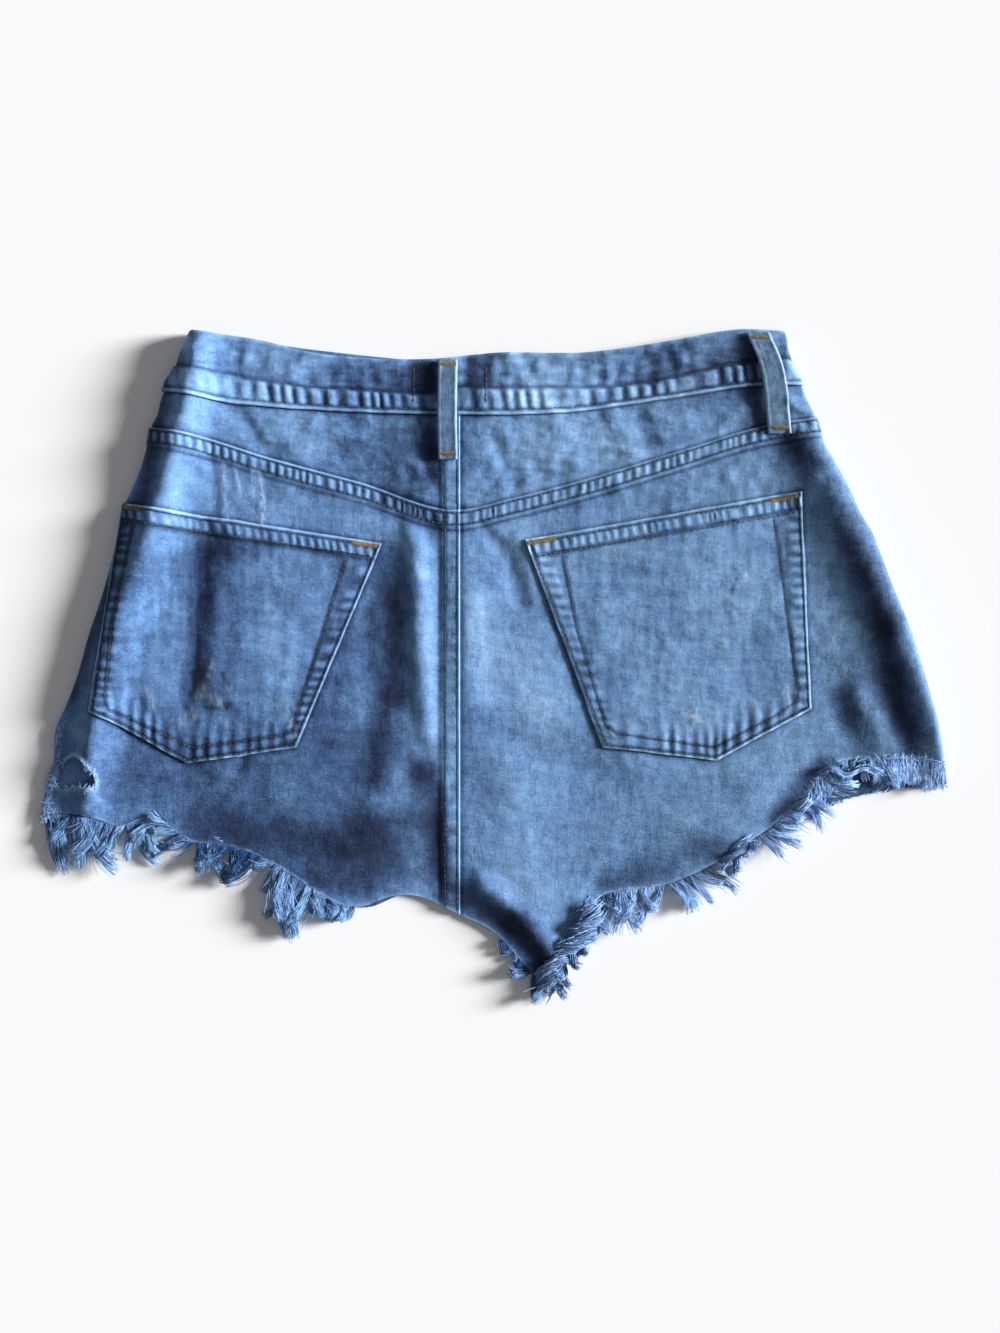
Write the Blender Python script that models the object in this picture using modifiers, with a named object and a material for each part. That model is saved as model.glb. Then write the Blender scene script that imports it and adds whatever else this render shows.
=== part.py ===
# Denim cut-off shorts lying flat on their front, with the back uppermost.
# +X runs to the wearer's right, +Y to the waist and +Z up. Sizes are in millimetres until a mesh is made.
# The garment is a flattened tube. A point on it has a place w around the tube and a height y up it: on
# the back w is simply x, counted from the centre back seam, and past a side fold it runs on, under the
# fold and along the front. Each piece of cloth is a patch of that tube between four lines.
import math

import bpy
import numpy as np

MM = 0.001
SEAM_GAP = 0.3  # between pieces that meet at a seam or lie on each other
CLOTH_WALL = 1.1
BAND_WALL = 2.0  # two layers of cloth
LOOP_WALL = 1.4
FRINGE_WALL = 1.2
BAND_PROUD = 0.6  # the waistband stands this far outside the cloth below it

FOLD_RUN = 5.0  # the side folds turn over within this distance of their crest
BACK_HEIGHT = 4.8  # the outer face of the back above the surface the shorts lie on
FRONT_WAIST_LIFT = 2.6  # the belt loops and the button hold the front waist up
BACK_WAIST_LIFT = 2.1
WAIST_LIFT_FROM = -98.0
WAIST_LIFT_TO = -58.0
HEM_DROP = 1.4
HEM_DROP_RUN = 45.0
CLOSURE_RISE = 1.4  # the back rides over the overlapped ends of the waistband
CLOSURE_REACH = 48.0

LEFT_SEAM_Y = (-290.0, 15.0)  # the left side seam's ends, on the front
LEFT_SEAM_X = (-218.0, -124.0)
RIGHT_SEAM_UNDER = 2.0
CENTRE_BACK_LAP = 6.5  # the left back panel laps over the right one to this far past the middle
OVERLAP_OUTER = 15.0  # the waistband's outer end passes the centre front by this much
OVERLAP_INNER = 18.0
OVERLAP_RAMP = 14.0

FLY_WIDTH = 38.0
FLY_PAST_CENTRE = 8.0
FLY_BOTTOM = -172.0

LOOP_WIDTH = 12.0
LOOP_ARCH = 1.4
LOOP_STEPS = 8

BUTTON_RADIUS = 8.5
BUTTON_THICKNESS = 1.6
STEM_RADIUS = 1.8
BUTTONHOLE = (20.0, 5.0)

SETTLE_STEPS = 40


def table(names, rows):
    """A table as one array for each named column."""
    return {name: np.array(column, float) for name, column in zip(names.split(), zip(*rows))}


# The side folds at each height, from the hem up to the waist.
OUTLINE = table("y left right", [
    (-300, -258, 312),
    (-281, -256, 311),
    (-253, -250, 309),
    (-216, -237, 300),
    (-178, -226, 289),
    (-141, -214, 274),
    (-112, -207, 263),
    (-84, -200, 252),
    (-56, -186, 235),
    (-28, -177, 222),
    (-6, -169, 213),
    (14, -161, 208),
])
# The waist's top edge and the waistband's lower seam, on the back and on the front.
WAIST_BACK = table("x y", [(-161, 14), (-122, 9), (-82, 0), (-49, -3), (-6, -3), (88, 1), (138, 8), (208, 14)])
WAIST_FRONT = table("x y", [(-161, 14), (-80, 2), (47, -6), (140, 4), (208, 14)])
BAND_SEAM_BACK = table("x y", [(-176, -24), (-135, -31), (-69, -36), (0, -38), (71, -37), (138, -28), (219, -20)])
BAND_SEAM_FRONT = table("x y", [(-176, -24), (-80, -36), (47, -45), (140, -34), (219, -20)])
# The folded edge of the seam where the back panels lap over the yokes. It dips at the centre back.
YOKE_SEAM_BACK = table("x y", [(-186, -46), (-154, -52), (-115, -64), (-56, -80), (6, -97),
                               (38, -90), (88, -77), (138, -62), (195, -45), (232, -39)])
YOKE_SEAM_FRONT = table("x y", [(-186, -46), (-150, -42), (218, -39), (232, -39)])
# The cut edge of the legs. It runs from fold to fold through both hems and the short inseams.
EDGE_BACK = table("x y", [(-257, -287), (-221, -289), (-200, -295), (-180, -294), (-162, -302), (-128, -309),
                          (-109, -318), (-90, -327), (-54, -345), (-28, -337), (8, -350), (31, -363),
                          (48, -382), (61, -393), (76, -372), (96, -338), (136, -330), (172, -313),
                          (204, -291), (232, -262), (250, -253), (298, -253), (311, -255)])
EDGE_FRONT = table("x y", [(-257, -287), (-220, -280), (-180, -284), (-128, -299), (-90, -316), (-54, -345),
                           (-28, -337), (8, -350), (31, -363), (46, -374), (74, -350), (100, -326),
                           (150, -308), (200, -288), (232, -279), (271, -271), (311, -266)])
# How far the frayed threads reach below each cut edge.
FRINGE_BACK_LEFT = table("x reach", [(-257, 24), (-206, 27), (-179, 12), (-153, 29), (-116, 16), (-103, 40),
                                     (-90, 38), (-66, 16), (-54, 4)])
FRINGE_BACK_RIGHT = table("x reach", [(31, 4), (47, 14), (61, 11), (72, 12), (96, 34), (122, 20), (147, 18),
                                      (184, 14), (209, 24), (232, 16), (271, 14), (311, 11)])
FRINGE_FRONT_LEFT = table("x reach", [(-218, 14), (-128, 16), (-60, 6)])
FRINGE_FRONT_RIGHT = table("x reach", [(46, 6), (150, 14), (232, 6), (311, 5)])
# Soft folds of the back: a ridge, or with a negative rise a trough, along the line between two points.
FOLDS = table("x1 y1 x2 y2 width rise", [
    (-25, -106, -24, -232, 13, 1.3),
    (-44, -126, -50, -262, 15, -0.7),
    (24, -112, 30, -222, 17, 0.7),
    (28, -334, 64, -366, 13, 1.2),
    (-22, -284, -80, -324, 16, 1.2),
    (-150, -268, -95, -300, 16, -0.7),
    (-160, -112, -172, -212, 17, -0.7),
    (-128, -112, -136, -205, 17, 0.6),
    (242, -72, 282, -150, 13, 1.3),
    (282, -150, 304, -246, 13, 1.3),
    (254, -205, 272, -250, 12, 1.0),
    (70, -264, 150, -294, 22, 0.7),
    (-124, -40, -108, -64, 10, 0.5),
    (120, -44, 134, -64, 10, 0.5),
])
# The patch pockets' corners: top left, top right, lower right, the bottom point and lower left.
POCKET_LEFT = table("x y", [(-196, -93), (-42, -118), (-96, -245), (-162, -255), (-222, -222)])
POCKET_RIGHT = table("x y", [(47, -116), (219, -86), (225, -221), (166, -253), (95, -245)])
POCKET_STEPS_ACROSS = 12
POCKET_STEPS_DOWN = 8
# The middle of each belt loop, from its top end to its bottom end.
LOOP_CENTRE_BACK = table("x y", [(-1, -5), (-1, -35), (-1, -66)])
LOOP_SIDE_RIGHT = table("x y", [(192, 12), (202, -12), (205, -50)])
LOOP_SIDE_LEFT = table("x y", [(-126, 6), (-130, -24), (-134, -54)])
LOOP_FRONT_LEFT = table("x y", [(-46, -4), (-47, -34), (-48, -64)])
LOOP_FRONT_RIGHT = table("x y", [(139, 0), (141, -30), (143, -60)])
# The frayed hole at the lower left, as lobes around its middle.
HOLE_MIDDLE = (-232.0, -260.0)
HOLE_RADII = table("angle radius", [(0, 13), (45, 9), (90, 7), (135, 9), (180, 12), (225, 9), (270, 8), (315, 9)])


def ease(share):
    """0 below 0, 1 above 1 and a smooth S between them."""
    share = np.clip(share, 0.0, 1.0)
    return share * share * (3.0 - 2.0 * share)


def smooth_line(columns, along, value):
    """A smooth curve through a table's points, level past its ends."""
    stops, values = columns[along], columns[value]
    slopes = np.gradient(values, stops)

    def at(place):
        before = np.clip(np.searchsorted(stops, place) - 1, 0, len(stops) - 2)
        run = stops[before + 1] - stops[before]
        t = np.clip((place - stops[before]) / run, 0.0, 1.0)
        start = (1 + 2 * t) * (1 - t) ** 2 * values[before] + t * (1 - t) ** 2 * run * slopes[before]
        end = t * t * (3 - 2 * t) * values[before + 1] - t * t * (1 - t) * run * slopes[before + 1]
        return start + end

    return at


left_fold = smooth_line(OUTLINE, "y", "left")
right_fold = smooth_line(OUTLINE, "y", "right")
back_edge_height = smooth_line(EDGE_BACK, "x", "y")


def centre_front(y):
    """x of the centre front seam, which slants to the centre back seam at the crotch."""
    return np.interp(y, (-350.0, -6.0), (2.0, 47.0))


BUTTON_AT = (float(centre_front(-25.0)), -25.0)


# ---- heights of the two layers -------------------------------------------------------------------
def front_height(y):
    """z of the front's outer face, which is its underside here: flat, and raised along the waist."""
    return FRONT_WAIST_LIFT * ease((y - WAIST_LIFT_FROM) / (WAIST_LIFT_TO - WAIST_LIFT_FROM))


def fold_relief(x, y):
    """The sum of the soft folds: each fades with the distance from its own line, as a bell curve."""
    relief = np.zeros(np.broadcast(x, y).shape)
    for x1, y1, x2, y2, width, rise in zip(*FOLDS.values()):
        run_x, run_y = x2 - x1, y2 - y1
        share = np.clip(((x - x1) * run_x + (y - y1) * run_y) / (run_x**2 + run_y**2), 0.0, 1.0)
        distance = np.hypot(x - x1 - share * run_x, y - y1 - share * run_y)
        relief += rise * np.exp(-((distance / width) ** 2))
    return relief


def back_height(x, y):
    """z of the back's outer face."""
    waist = BACK_WAIST_LIFT * ease((y - WAIST_LIFT_FROM) / (WAIST_LIFT_TO - WAIST_LIFT_FROM))
    hem = HEM_DROP * (1.0 - ease((y - back_edge_height(x)) / HEM_DROP_RUN))
    away = np.hypot(x - BUTTON_AT[0], y - BUTTON_AT[1]) / CLOSURE_REACH
    return BACK_HEIGHT + waist - hem + fold_relief(x, y) + CLOSURE_RISE * (1.0 - ease(away))


# ---- the tube ------------------------------------------------------------------------------------
def ring_place(w, y):
    """x and z of a place on the tube, and whether it is on the back."""
    from_left = w - left_fold(y) + FOLD_RUN / 2
    from_right = right_fold(y) - w + FOLD_RUN / 2
    past_crest = np.minimum(from_left, from_right)
    far = np.abs(past_crest)
    run = np.where(far < FOLD_RUN, far**2 / (2 * FOLD_RUN), far - FOLD_RUN / 2)
    x = np.where(from_left < from_right, left_fold(y) + run, right_fold(y) - run)
    turn = ease((past_crest + FOLD_RUN) / (2 * FOLD_RUN))
    z = front_height(y) + (back_height(x, y) - front_height(y)) * turn
    return x, z, past_crest > 0


def tube_points(w, y, lift=0.0):
    """Points on the tube's outer face, moved out along its normals by the lift."""

    def point(w, y):
        x, z, _ = ring_place(w, y)
        return np.stack([x, y + 0.0 * x, z], axis=-1)

    step = 0.05
    across = point(w + step, y) - point(w - step, y)
    up = point(w, y + step) - point(w, y - step)
    normal = np.cross(across, up)
    normal /= np.linalg.norm(normal, axis=-1, keepdims=True)
    return point(w, y) + normal * np.asarray(lift)[..., None]


def edge_line(back, front, drop=0.0):
    """The height of a seam or cut edge all round the tube, from its back and front tables."""
    on_back, on_front = smooth_line(back, "x", "y"), smooth_line(front, "x", "y")

    def at(w, y):
        x, _, is_back = ring_place(w, y)
        return np.where(is_back, on_back(x), on_front(x)) - drop

    return at


def columns_over(spans):
    """Columns that share out the width between pairs of lines, each as two lines and the part of the way."""
    columns = [(a, b, k / steps) for a, b, steps in spans for k in range(steps)]
    return [*columns, (spans[-1][0], spans[-1][1], 1.0)]


def patch(columns, top, bottom, rows):
    """w and y of a grid over the columns, whose rows share out the height from top to bottom."""
    share = np.linspace(0.0, 1.0, rows + 1)[:, None]
    y = np.zeros((rows + 1, len(columns)))
    for _ in range(SETTLE_STEPS):
        w = np.stack([(1 - f) * a(y[:, j]) + f * b(y[:, j]) for j, (a, b, f) in enumerate(columns)], axis=1)
        y = (y + (1 - share) * top(w, y) + share * bottom(w, y)) / 2
    return w, y


# ---- lines up the garment ------------------------------------------------------------------------
def centre_back(side):
    """The centre back seam's edge on one side of it, side being -1 or 1."""
    return lambda y: np.full_like(y, CENTRE_BACK_LAP + side * SEAM_GAP / 2)


def left_fold_line(from_crest):
    return lambda y: left_fold(y) - FOLD_RUN / 2 + from_crest


def right_fold_line(from_crest):
    return lambda y: right_fold(y) + FOLD_RUN / 2 - from_crest


def left_side_seam(side):
    """The left side seam's edge on one side of it. The seam is straight, and lies on the front."""

    def at(y):
        x = np.interp(y, LEFT_SEAM_Y, LEFT_SEAM_X)
        return 2 * left_fold(y) - FOLD_RUN - x + side * SEAM_GAP / 2

    return at


def right_side_seam(side):
    """The right side seam's edge on one side of it. The seam curves, so its pieces stand a little wider."""
    return right_fold_line(-FOLD_RUN - RIGHT_SEAM_UNDER - side * SEAM_GAP)


def centre_front_left(past):
    """The centre front as the tube's left end, moved on past it."""
    return lambda y: 2 * left_fold(y) - FOLD_RUN - centre_front(y) - past


def centre_front_right(past):
    """The centre front as the tube's right end, moved on past it."""
    return lambda y: 2 * right_fold(y) + FOLD_RUN - centre_front(y) + past


# ---- making objects ------------------------------------------------------------------------------
def denim(name, colour, roughness=0.85, metallic=0.0):
    material = bpy.data.materials.new(name)
    material.use_nodes = True
    shader = material.node_tree.nodes["Principled BSDF"]
    shader.inputs["Base Color"].default_value = (*colour, 1.0)
    shader.inputs["Roughness"].default_value = roughness
    shader.inputs["Metallic"].default_value = metallic
    return material


def add_object(name, mesh, material, collection):
    mesh.materials.append(material)
    obj = bpy.data.objects.new(name, mesh)
    collection.objects.link(obj)
    return obj


def grid_mesh(name, points):
    """A mesh of four-sided faces over rows and columns of points in millimetres."""
    rows, columns = points.shape[:2]
    index = np.arange(rows * columns).reshape(rows, columns)
    faces = np.stack([index[:-1, :-1], index[1:, :-1], index[1:, 1:], index[:-1, 1:]], axis=-1)
    mesh = bpy.data.meshes.new(name)
    mesh.from_pydata((points.reshape(-1, 3) * MM).tolist(), [], faces.reshape(-1, 4).tolist())
    mesh.shade_smooth()
    return mesh


def cloth(name, points, wall, colour, collection):
    """A piece of cloth: its outer face as a grid, thickened inwards."""
    obj = add_object(name, grid_mesh(name, points), denim(name + "_denim", colour), collection)
    solidify = obj.modifiers.new("wall", "SOLIDIFY")
    solidify.thickness = wall * MM
    solidify.offset = -1.0
    return obj


# ---- the pieces ----------------------------------------------------------------------------------
BAND_BLUE = (0.16, 0.29, 0.50)
PANEL_BLUE = (0.13, 0.25, 0.45)
POCKET_BLUE = (0.12, 0.23, 0.41)
FRONT_BLUE = (0.11, 0.21, 0.38)
THREAD_WHITE = (0.52, 0.62, 0.74)
BRASS = (0.55, 0.42, 0.22)

waist_top = edge_line(WAIST_BACK, WAIST_FRONT)
band_bottom = edge_line(BAND_SEAM_BACK, BAND_SEAM_FRONT)
below_band = edge_line(BAND_SEAM_BACK, BAND_SEAM_FRONT, SEAM_GAP)
yoke_bottom = edge_line(YOKE_SEAM_BACK, YOKE_SEAM_FRONT)
below_yoke = edge_line(YOKE_SEAM_BACK, YOKE_SEAM_FRONT, SEAM_GAP)
leg_edge = edge_line(EDGE_BACK, EDGE_FRONT)
below_edge = edge_line(EDGE_BACK, EDGE_FRONT, SEAM_GAP)

BACK_COLUMNS = {
    "left": columns_over([
        (left_side_seam(1), left_fold_line(-FOLD_RUN), 2),
        (left_fold_line(-FOLD_RUN), left_fold_line(FOLD_RUN), 4),
        (left_fold_line(FOLD_RUN), centre_back(-1), 20),
    ]),
    "right": columns_over([
        (centre_back(1), right_fold_line(FOLD_RUN), 26),
        (right_fold_line(FOLD_RUN), right_fold_line(-FOLD_RUN), 4),
        (right_fold_line(-FOLD_RUN), right_side_seam(-1), 1),
    ]),
}
FRONT_COLUMNS = {
    "left": columns_over([(centre_front_left(-SEAM_GAP / 2), left_side_seam(-1), 16)]),
    "right": columns_over([(right_side_seam(1), centre_front_right(-SEAM_GAP / 2), 22)]),
}


def add_waistband(collection):
    """One strip all round, whose inner end passes over its outer end at the centre front."""
    columns = columns_over([
        (centre_front_left(OVERLAP_OUTER), left_fold_line(-FOLD_RUN), 16),
        (left_fold_line(-FOLD_RUN), left_fold_line(FOLD_RUN), 4),
        (left_fold_line(FOLD_RUN), right_fold_line(FOLD_RUN), 28),
        (right_fold_line(FOLD_RUN), right_fold_line(-FOLD_RUN), 4),
        (right_fold_line(-FOLD_RUN), centre_front_right(-OVERLAP_OUTER - OVERLAP_RAMP), 8),
        (centre_front_right(-OVERLAP_OUTER - OVERLAP_RAMP), centre_front_right(OVERLAP_INNER), 8),
    ])
    w, y = patch(columns, waist_top, band_bottom, 3)
    ramp = ease((w - centre_front_right(-OVERLAP_OUTER - OVERLAP_RAMP)(y)) / (OVERLAP_RAMP - 2))
    lift = BAND_PROUD - (BAND_WALL + SEAM_GAP) * ramp
    return cloth("waistband", tube_points(w, y, lift), BAND_WALL, BAND_BLUE, collection)


def cut_buttonhole(waistband, cutters):
    bpy.ops.mesh.primitive_cube_add(size=1.0)
    cutter = bpy.context.object
    cutter.name = "buttonhole_cutter"
    for other in cutter.users_collection:
        other.objects.unlink(cutter)
    cutters.objects.link(cutter)
    low = FRONT_WAIST_LIFT - BAND_PROUD
    depth = BAND_WALL + SEAM_GAP
    size = np.array([*BUTTONHOLE, depth]) * MM
    middle = np.array([*BUTTON_AT, low + BAND_WALL + SEAM_GAP / 2 - depth / 2]) * MM
    for vertex in cutter.data.vertices:
        vertex.co = np.array(vertex.co) * size + middle
    cut_with(waistband, cutter)


def add_hole_cutter(panel, cutters):
    """The worn hole: a many-sided prism with a wavy rim, above the front layer and through the back only."""
    radius = smooth_line(HOLE_RADII, "angle", "radius")
    angles = np.arange(0.0, 360.0, 22.5)
    reach = radius(np.where(angles > 315, 315.0, angles))
    rim_x = HOLE_MIDDLE[0] + reach * np.cos(np.radians(angles))
    rim_y = HOLE_MIDDLE[1] + reach * np.sin(np.radians(angles))
    low, high = CLOTH_WALL + SEAM_GAP / 2, BACK_HEIGHT * 2
    rings = [np.stack([rim_x, rim_y, np.full_like(rim_x, z)], axis=-1) for z in (low, high)]
    count = len(angles)
    sides = [(k, (k + 1) % count, count + (k + 1) % count, count + k) for k in range(count)]
    caps = [tuple(reversed(range(count))), tuple(range(count, 2 * count))]
    mesh = bpy.data.meshes.new("hole_cutter")
    mesh.from_pydata((np.concatenate(rings) * MM).tolist(), [], sides + caps)
    cutter = bpy.data.objects.new("hole_cutter", mesh)
    cutters.objects.link(cutter)
    cut_with(panel, cutter)


def cut_with(piece, cutter):
    cutter.hide_render = True
    cutter.display_type = "WIRE"
    cut = piece.modifiers.new(cutter.name, "BOOLEAN")
    cut.operation = "DIFFERENCE"
    cut.object = cutter


def add_back(collection, cutters):
    """The yokes and the two back panels, which turn under at the side folds."""
    for side, columns in BACK_COLUMNS.items():
        w, y = patch(columns, below_band, yoke_bottom, 3)
        cloth("yoke_" + side, tube_points(w, y), CLOTH_WALL, BAND_BLUE, collection)
        w, y = patch(columns, below_yoke, leg_edge, 13)
        panel = cloth("back_panel_" + side, tube_points(w, y), CLOTH_WALL, PANEL_BLUE, collection)
        if side == "left":
            add_hole_cutter(panel, cutters)


def add_front(collection):
    """The two front panels, from the side seams to the centre front."""
    for side, columns in FRONT_COLUMNS.items():
        w, y = patch(columns, below_band, leg_edge, 13)
        cloth("front_panel_" + side, tube_points(w, y), CLOTH_WALL, FRONT_BLUE, collection)


def add_fly_shield(collection):
    """The strip behind the fly, on the inner faces of both front panels."""
    ends = centre_front_right(-FLY_PAST_CENTRE), centre_front_right(FLY_WIDTH - FLY_PAST_CENTRE)
    columns = columns_over([(*ends, 3)])
    below = edge_line(BAND_SEAM_BACK, BAND_SEAM_FRONT, BAND_WALL + SEAM_GAP)
    w, y = patch(columns, below, lambda w, y: np.full_like(y, FLY_BOTTOM), 8)
    inside = CLOTH_WALL + SEAM_GAP
    cloth("fly_shield", tube_points(w, y, np.full(w.shape, -inside)), CLOTH_WALL, FRONT_BLUE, collection)


def add_pocket(name, corners, collection):
    """A patch pocket on the back panel: straight sides, and a bottom edge that dips to its point."""
    across = np.linspace(0.0, 1.0, POCKET_STEPS_ACROSS + 1)
    down = np.linspace(0.0, 1.0, POCKET_STEPS_DOWN + 1)[:, None]
    grid = []
    for value in (corners["x"], corners["y"]):
        top_left, top_right, low_right, point, low_left = value
        top = np.interp(across, (0.0, 1.0), (top_left, top_right))
        low = np.interp(across, (0.0, 0.5, 1.0), (low_left, point, low_right))
        grid.append(top + (low - top) * down)
    points = tube_points(*grid, np.full(grid[0].shape, SEAM_GAP + CLOTH_WALL))
    return cloth(name, points, CLOTH_WALL, POCKET_BLUE, collection)


def on_back(x, y):
    return x + 0.0 * y


def on_front_left(x, y):
    """w of a place on the front, reached round the left fold."""
    return 2 * left_fold(y) - FOLD_RUN - x


def on_front_right(x, y):
    return 2 * right_fold(y) + FOLD_RUN - x


def add_loop(name, place, line, arch, collection):
    """A belt loop: a strip over the waistband, tacked at both ends, whose middle stands off it."""
    share = np.linspace(0.0, 1.0, LOOP_STEPS + 1)
    stops = {"s": np.linspace(0.0, 1.0, len(line["x"])), **line}
    middle_x = smooth_line(stops, "s", "x")(share)[:, None]
    middle_y = smooth_line(stops, "s", "y")(share)[:, None]
    across = np.linspace(-LOOP_WIDTH / 2, LOOP_WIDTH / 2, 3)[None, :]
    grid_y = middle_y + 0.0 * across
    grid_w = place(middle_x + across, grid_y)
    stand_off = BAND_PROUD + SEAM_GAP + LOOP_WALL + arch * np.sin(math.pi * share)[:, None] ** 2
    points = tube_points(grid_w, grid_y, np.broadcast_to(stand_off, grid_w.shape))
    if place is on_front_left or place is on_front_right:
        points = points[:, ::-1]
    return cloth(name, points, LOOP_WALL, BAND_BLUE, collection)


def add_loops(collection):
    add_loop("belt_loop_centre_back", on_back, LOOP_CENTRE_BACK, LOOP_ARCH, collection)
    add_loop("belt_loop_side_right", on_back, LOOP_SIDE_RIGHT, LOOP_ARCH, collection)
    add_loop("belt_loop_side_left", on_front_left, LOOP_SIDE_LEFT, 0.0, collection)
    add_loop("belt_loop_front_left", on_front_left, LOOP_FRONT_LEFT, 0.0, collection)
    add_loop("belt_loop_front_right", on_front_right, LOOP_FRONT_RIGHT, 0.0, collection)


def add_fringe(name, columns, reach, collection):
    """The solid that the frayed threads of a cut edge fill, from the edge to their tips."""
    length = smooth_line(reach, "x", "reach")

    def tips(w, y):
        x, _, _ = ring_place(w, y)
        return leg_edge(w, y) - length(x)

    w, y = patch(columns, below_edge, tips, 2)
    return cloth(name, tube_points(w, y), FRINGE_WALL, THREAD_WHITE, collection)


def add_fringes(collection):
    """Each fringe hangs from the leg part of its panel's cut edge, on the same columns."""
    back_left = BACK_COLUMNS["left"][6:23]
    back_right = BACK_COLUMNS["right"][3:27]
    front_left = FRONT_COLUMNS["left"][5:17]
    front_right = FRONT_COLUMNS["right"][0:19]
    add_fringe("fringe_back_left", back_left, FRINGE_BACK_LEFT, collection)
    add_fringe("fringe_back_right", back_right, FRINGE_BACK_RIGHT, collection)
    add_fringe("fringe_front_left", front_left, FRINGE_FRONT_LEFT, collection)
    add_fringe("fringe_front_right", front_right, FRINGE_FRONT_RIGHT, collection)


def add_button(collection):
    """A tack button: a face, a stem through the buttonhole, and its foot against the waistband's inner end."""
    top = FRONT_WAIST_LIFT - BAND_PROUD + BAND_WALL
    profile = [
        (0.0, top),
        (STEM_RADIUS, top),
        (STEM_RADIUS, BUTTON_THICKNESS),
        (BUTTON_RADIUS, BUTTON_THICKNESS),
        (BUTTON_RADIUS, 0.5),
        (BUTTON_RADIUS - 0.5, 0.0),
        (0.0, 0.0),
    ]
    mesh = bpy.data.meshes.new("button")
    edges = [(k, k + 1) for k in range(len(profile) - 1)]
    mesh.from_pydata([(r * MM, 0.0, z * MM) for r, z in profile], edges, [])
    obj = add_object("button", mesh, denim("button_brass", BRASS, 0.35, 1.0), collection)
    obj.location = (BUTTON_AT[0] * MM, BUTTON_AT[1] * MM, 0.0)
    screw = obj.modifiers.new("turn", "SCREW")
    screw.steps = screw.render_steps = 28
    screw.use_merge_vertices = True
    screw.merge_threshold = 0.00001
    return obj


def centre_on_origin(objects):
    """Moves everything so that the middle of its footprint is the origin, at the height it rests at."""
    bpy.context.view_layer.update()
    graph = bpy.context.evaluated_depsgraph_get()
    corners = []
    for obj in objects:
        if obj.hide_render:
            continue
        seen = obj.evaluated_get(graph)
        corners += [np.array(seen.matrix_world)[:3, :3] @ np.array(v.co) + np.array(seen.location)
                    for v in seen.data.vertices]
    low, high = np.min(corners, axis=0), np.max(corners, axis=0)
    shift = -np.array([(low[0] + high[0]) / 2, (low[1] + high[1]) / 2, low[2]])
    for obj in objects:
        obj.location = tuple(np.array(obj.location) + shift)


def main():
    for obj in list(bpy.data.objects):
        bpy.data.objects.remove(obj)
    shorts = bpy.data.collections.new("denim_shorts")
    cutters = bpy.data.collections.new("cutters")
    for collection in (shorts, cutters):
        bpy.context.scene.collection.children.link(collection)
    waistband = add_waistband(shorts)
    cut_buttonhole(waistband, cutters)
    add_back(shorts, cutters)
    add_front(shorts)
    add_fly_shield(shorts)
    add_pocket("pocket_left", POCKET_LEFT, shorts)
    add_pocket("pocket_right", POCKET_RIGHT, shorts)
    add_loops(shorts)
    add_fringes(shorts)
    add_button(shorts)
    centre_on_origin(list(shorts.objects) + list(cutters.objects))


main()
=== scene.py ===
import math
import bpy
import numpy as np
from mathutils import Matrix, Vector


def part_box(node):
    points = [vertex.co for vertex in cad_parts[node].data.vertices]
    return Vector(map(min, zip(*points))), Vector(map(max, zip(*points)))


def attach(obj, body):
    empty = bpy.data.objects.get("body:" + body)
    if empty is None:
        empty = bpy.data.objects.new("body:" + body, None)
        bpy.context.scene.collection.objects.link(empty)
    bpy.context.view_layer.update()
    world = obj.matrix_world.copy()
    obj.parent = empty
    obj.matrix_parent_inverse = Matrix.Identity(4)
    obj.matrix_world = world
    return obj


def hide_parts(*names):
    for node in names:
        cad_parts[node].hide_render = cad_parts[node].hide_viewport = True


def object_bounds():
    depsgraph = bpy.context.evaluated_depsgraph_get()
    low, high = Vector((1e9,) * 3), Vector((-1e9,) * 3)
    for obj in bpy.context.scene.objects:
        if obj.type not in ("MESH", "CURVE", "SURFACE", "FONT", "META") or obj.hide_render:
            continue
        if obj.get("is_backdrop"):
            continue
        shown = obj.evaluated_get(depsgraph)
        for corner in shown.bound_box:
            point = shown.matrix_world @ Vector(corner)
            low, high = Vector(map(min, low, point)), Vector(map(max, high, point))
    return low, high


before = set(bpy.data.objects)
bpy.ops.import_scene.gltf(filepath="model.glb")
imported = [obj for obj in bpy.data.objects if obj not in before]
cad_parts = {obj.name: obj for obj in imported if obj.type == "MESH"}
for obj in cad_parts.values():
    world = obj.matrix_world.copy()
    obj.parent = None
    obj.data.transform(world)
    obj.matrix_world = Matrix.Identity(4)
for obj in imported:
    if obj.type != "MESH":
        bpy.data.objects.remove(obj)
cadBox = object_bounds()

# Cut-off denim shorts, laid on their front with the back uppermost. Sizes are in millimetres on the
# garment, where x runs from the centre back and y up to the waist, and become metres in makeMesh.
mm = 0.001
loopLow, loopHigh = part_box("belt_loop_centre_back")  # its middle is 1 mm left of centre, 35.5 mm below the waist
shift = np.array([(loopLow.x + loopHigh.x) / 2 / mm + 1.0, (loopLow.y + loopHigh.y) / 2 / mm + 35.5, 0.0])


# small maths
def table(names, rows):  # one array for each named column
    return {name: np.array(column, float) for name, column in zip(names.split(), zip(*rows))}


def ease(share):  # 0 below 0, 1 above 1, a smooth S between
    share = np.clip(share, 0.0, 1.0)
    return share * share * (3.0 - 2.0 * share)


def bell(distance, width):
    return np.exp(-((distance / width) ** 2))


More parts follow.
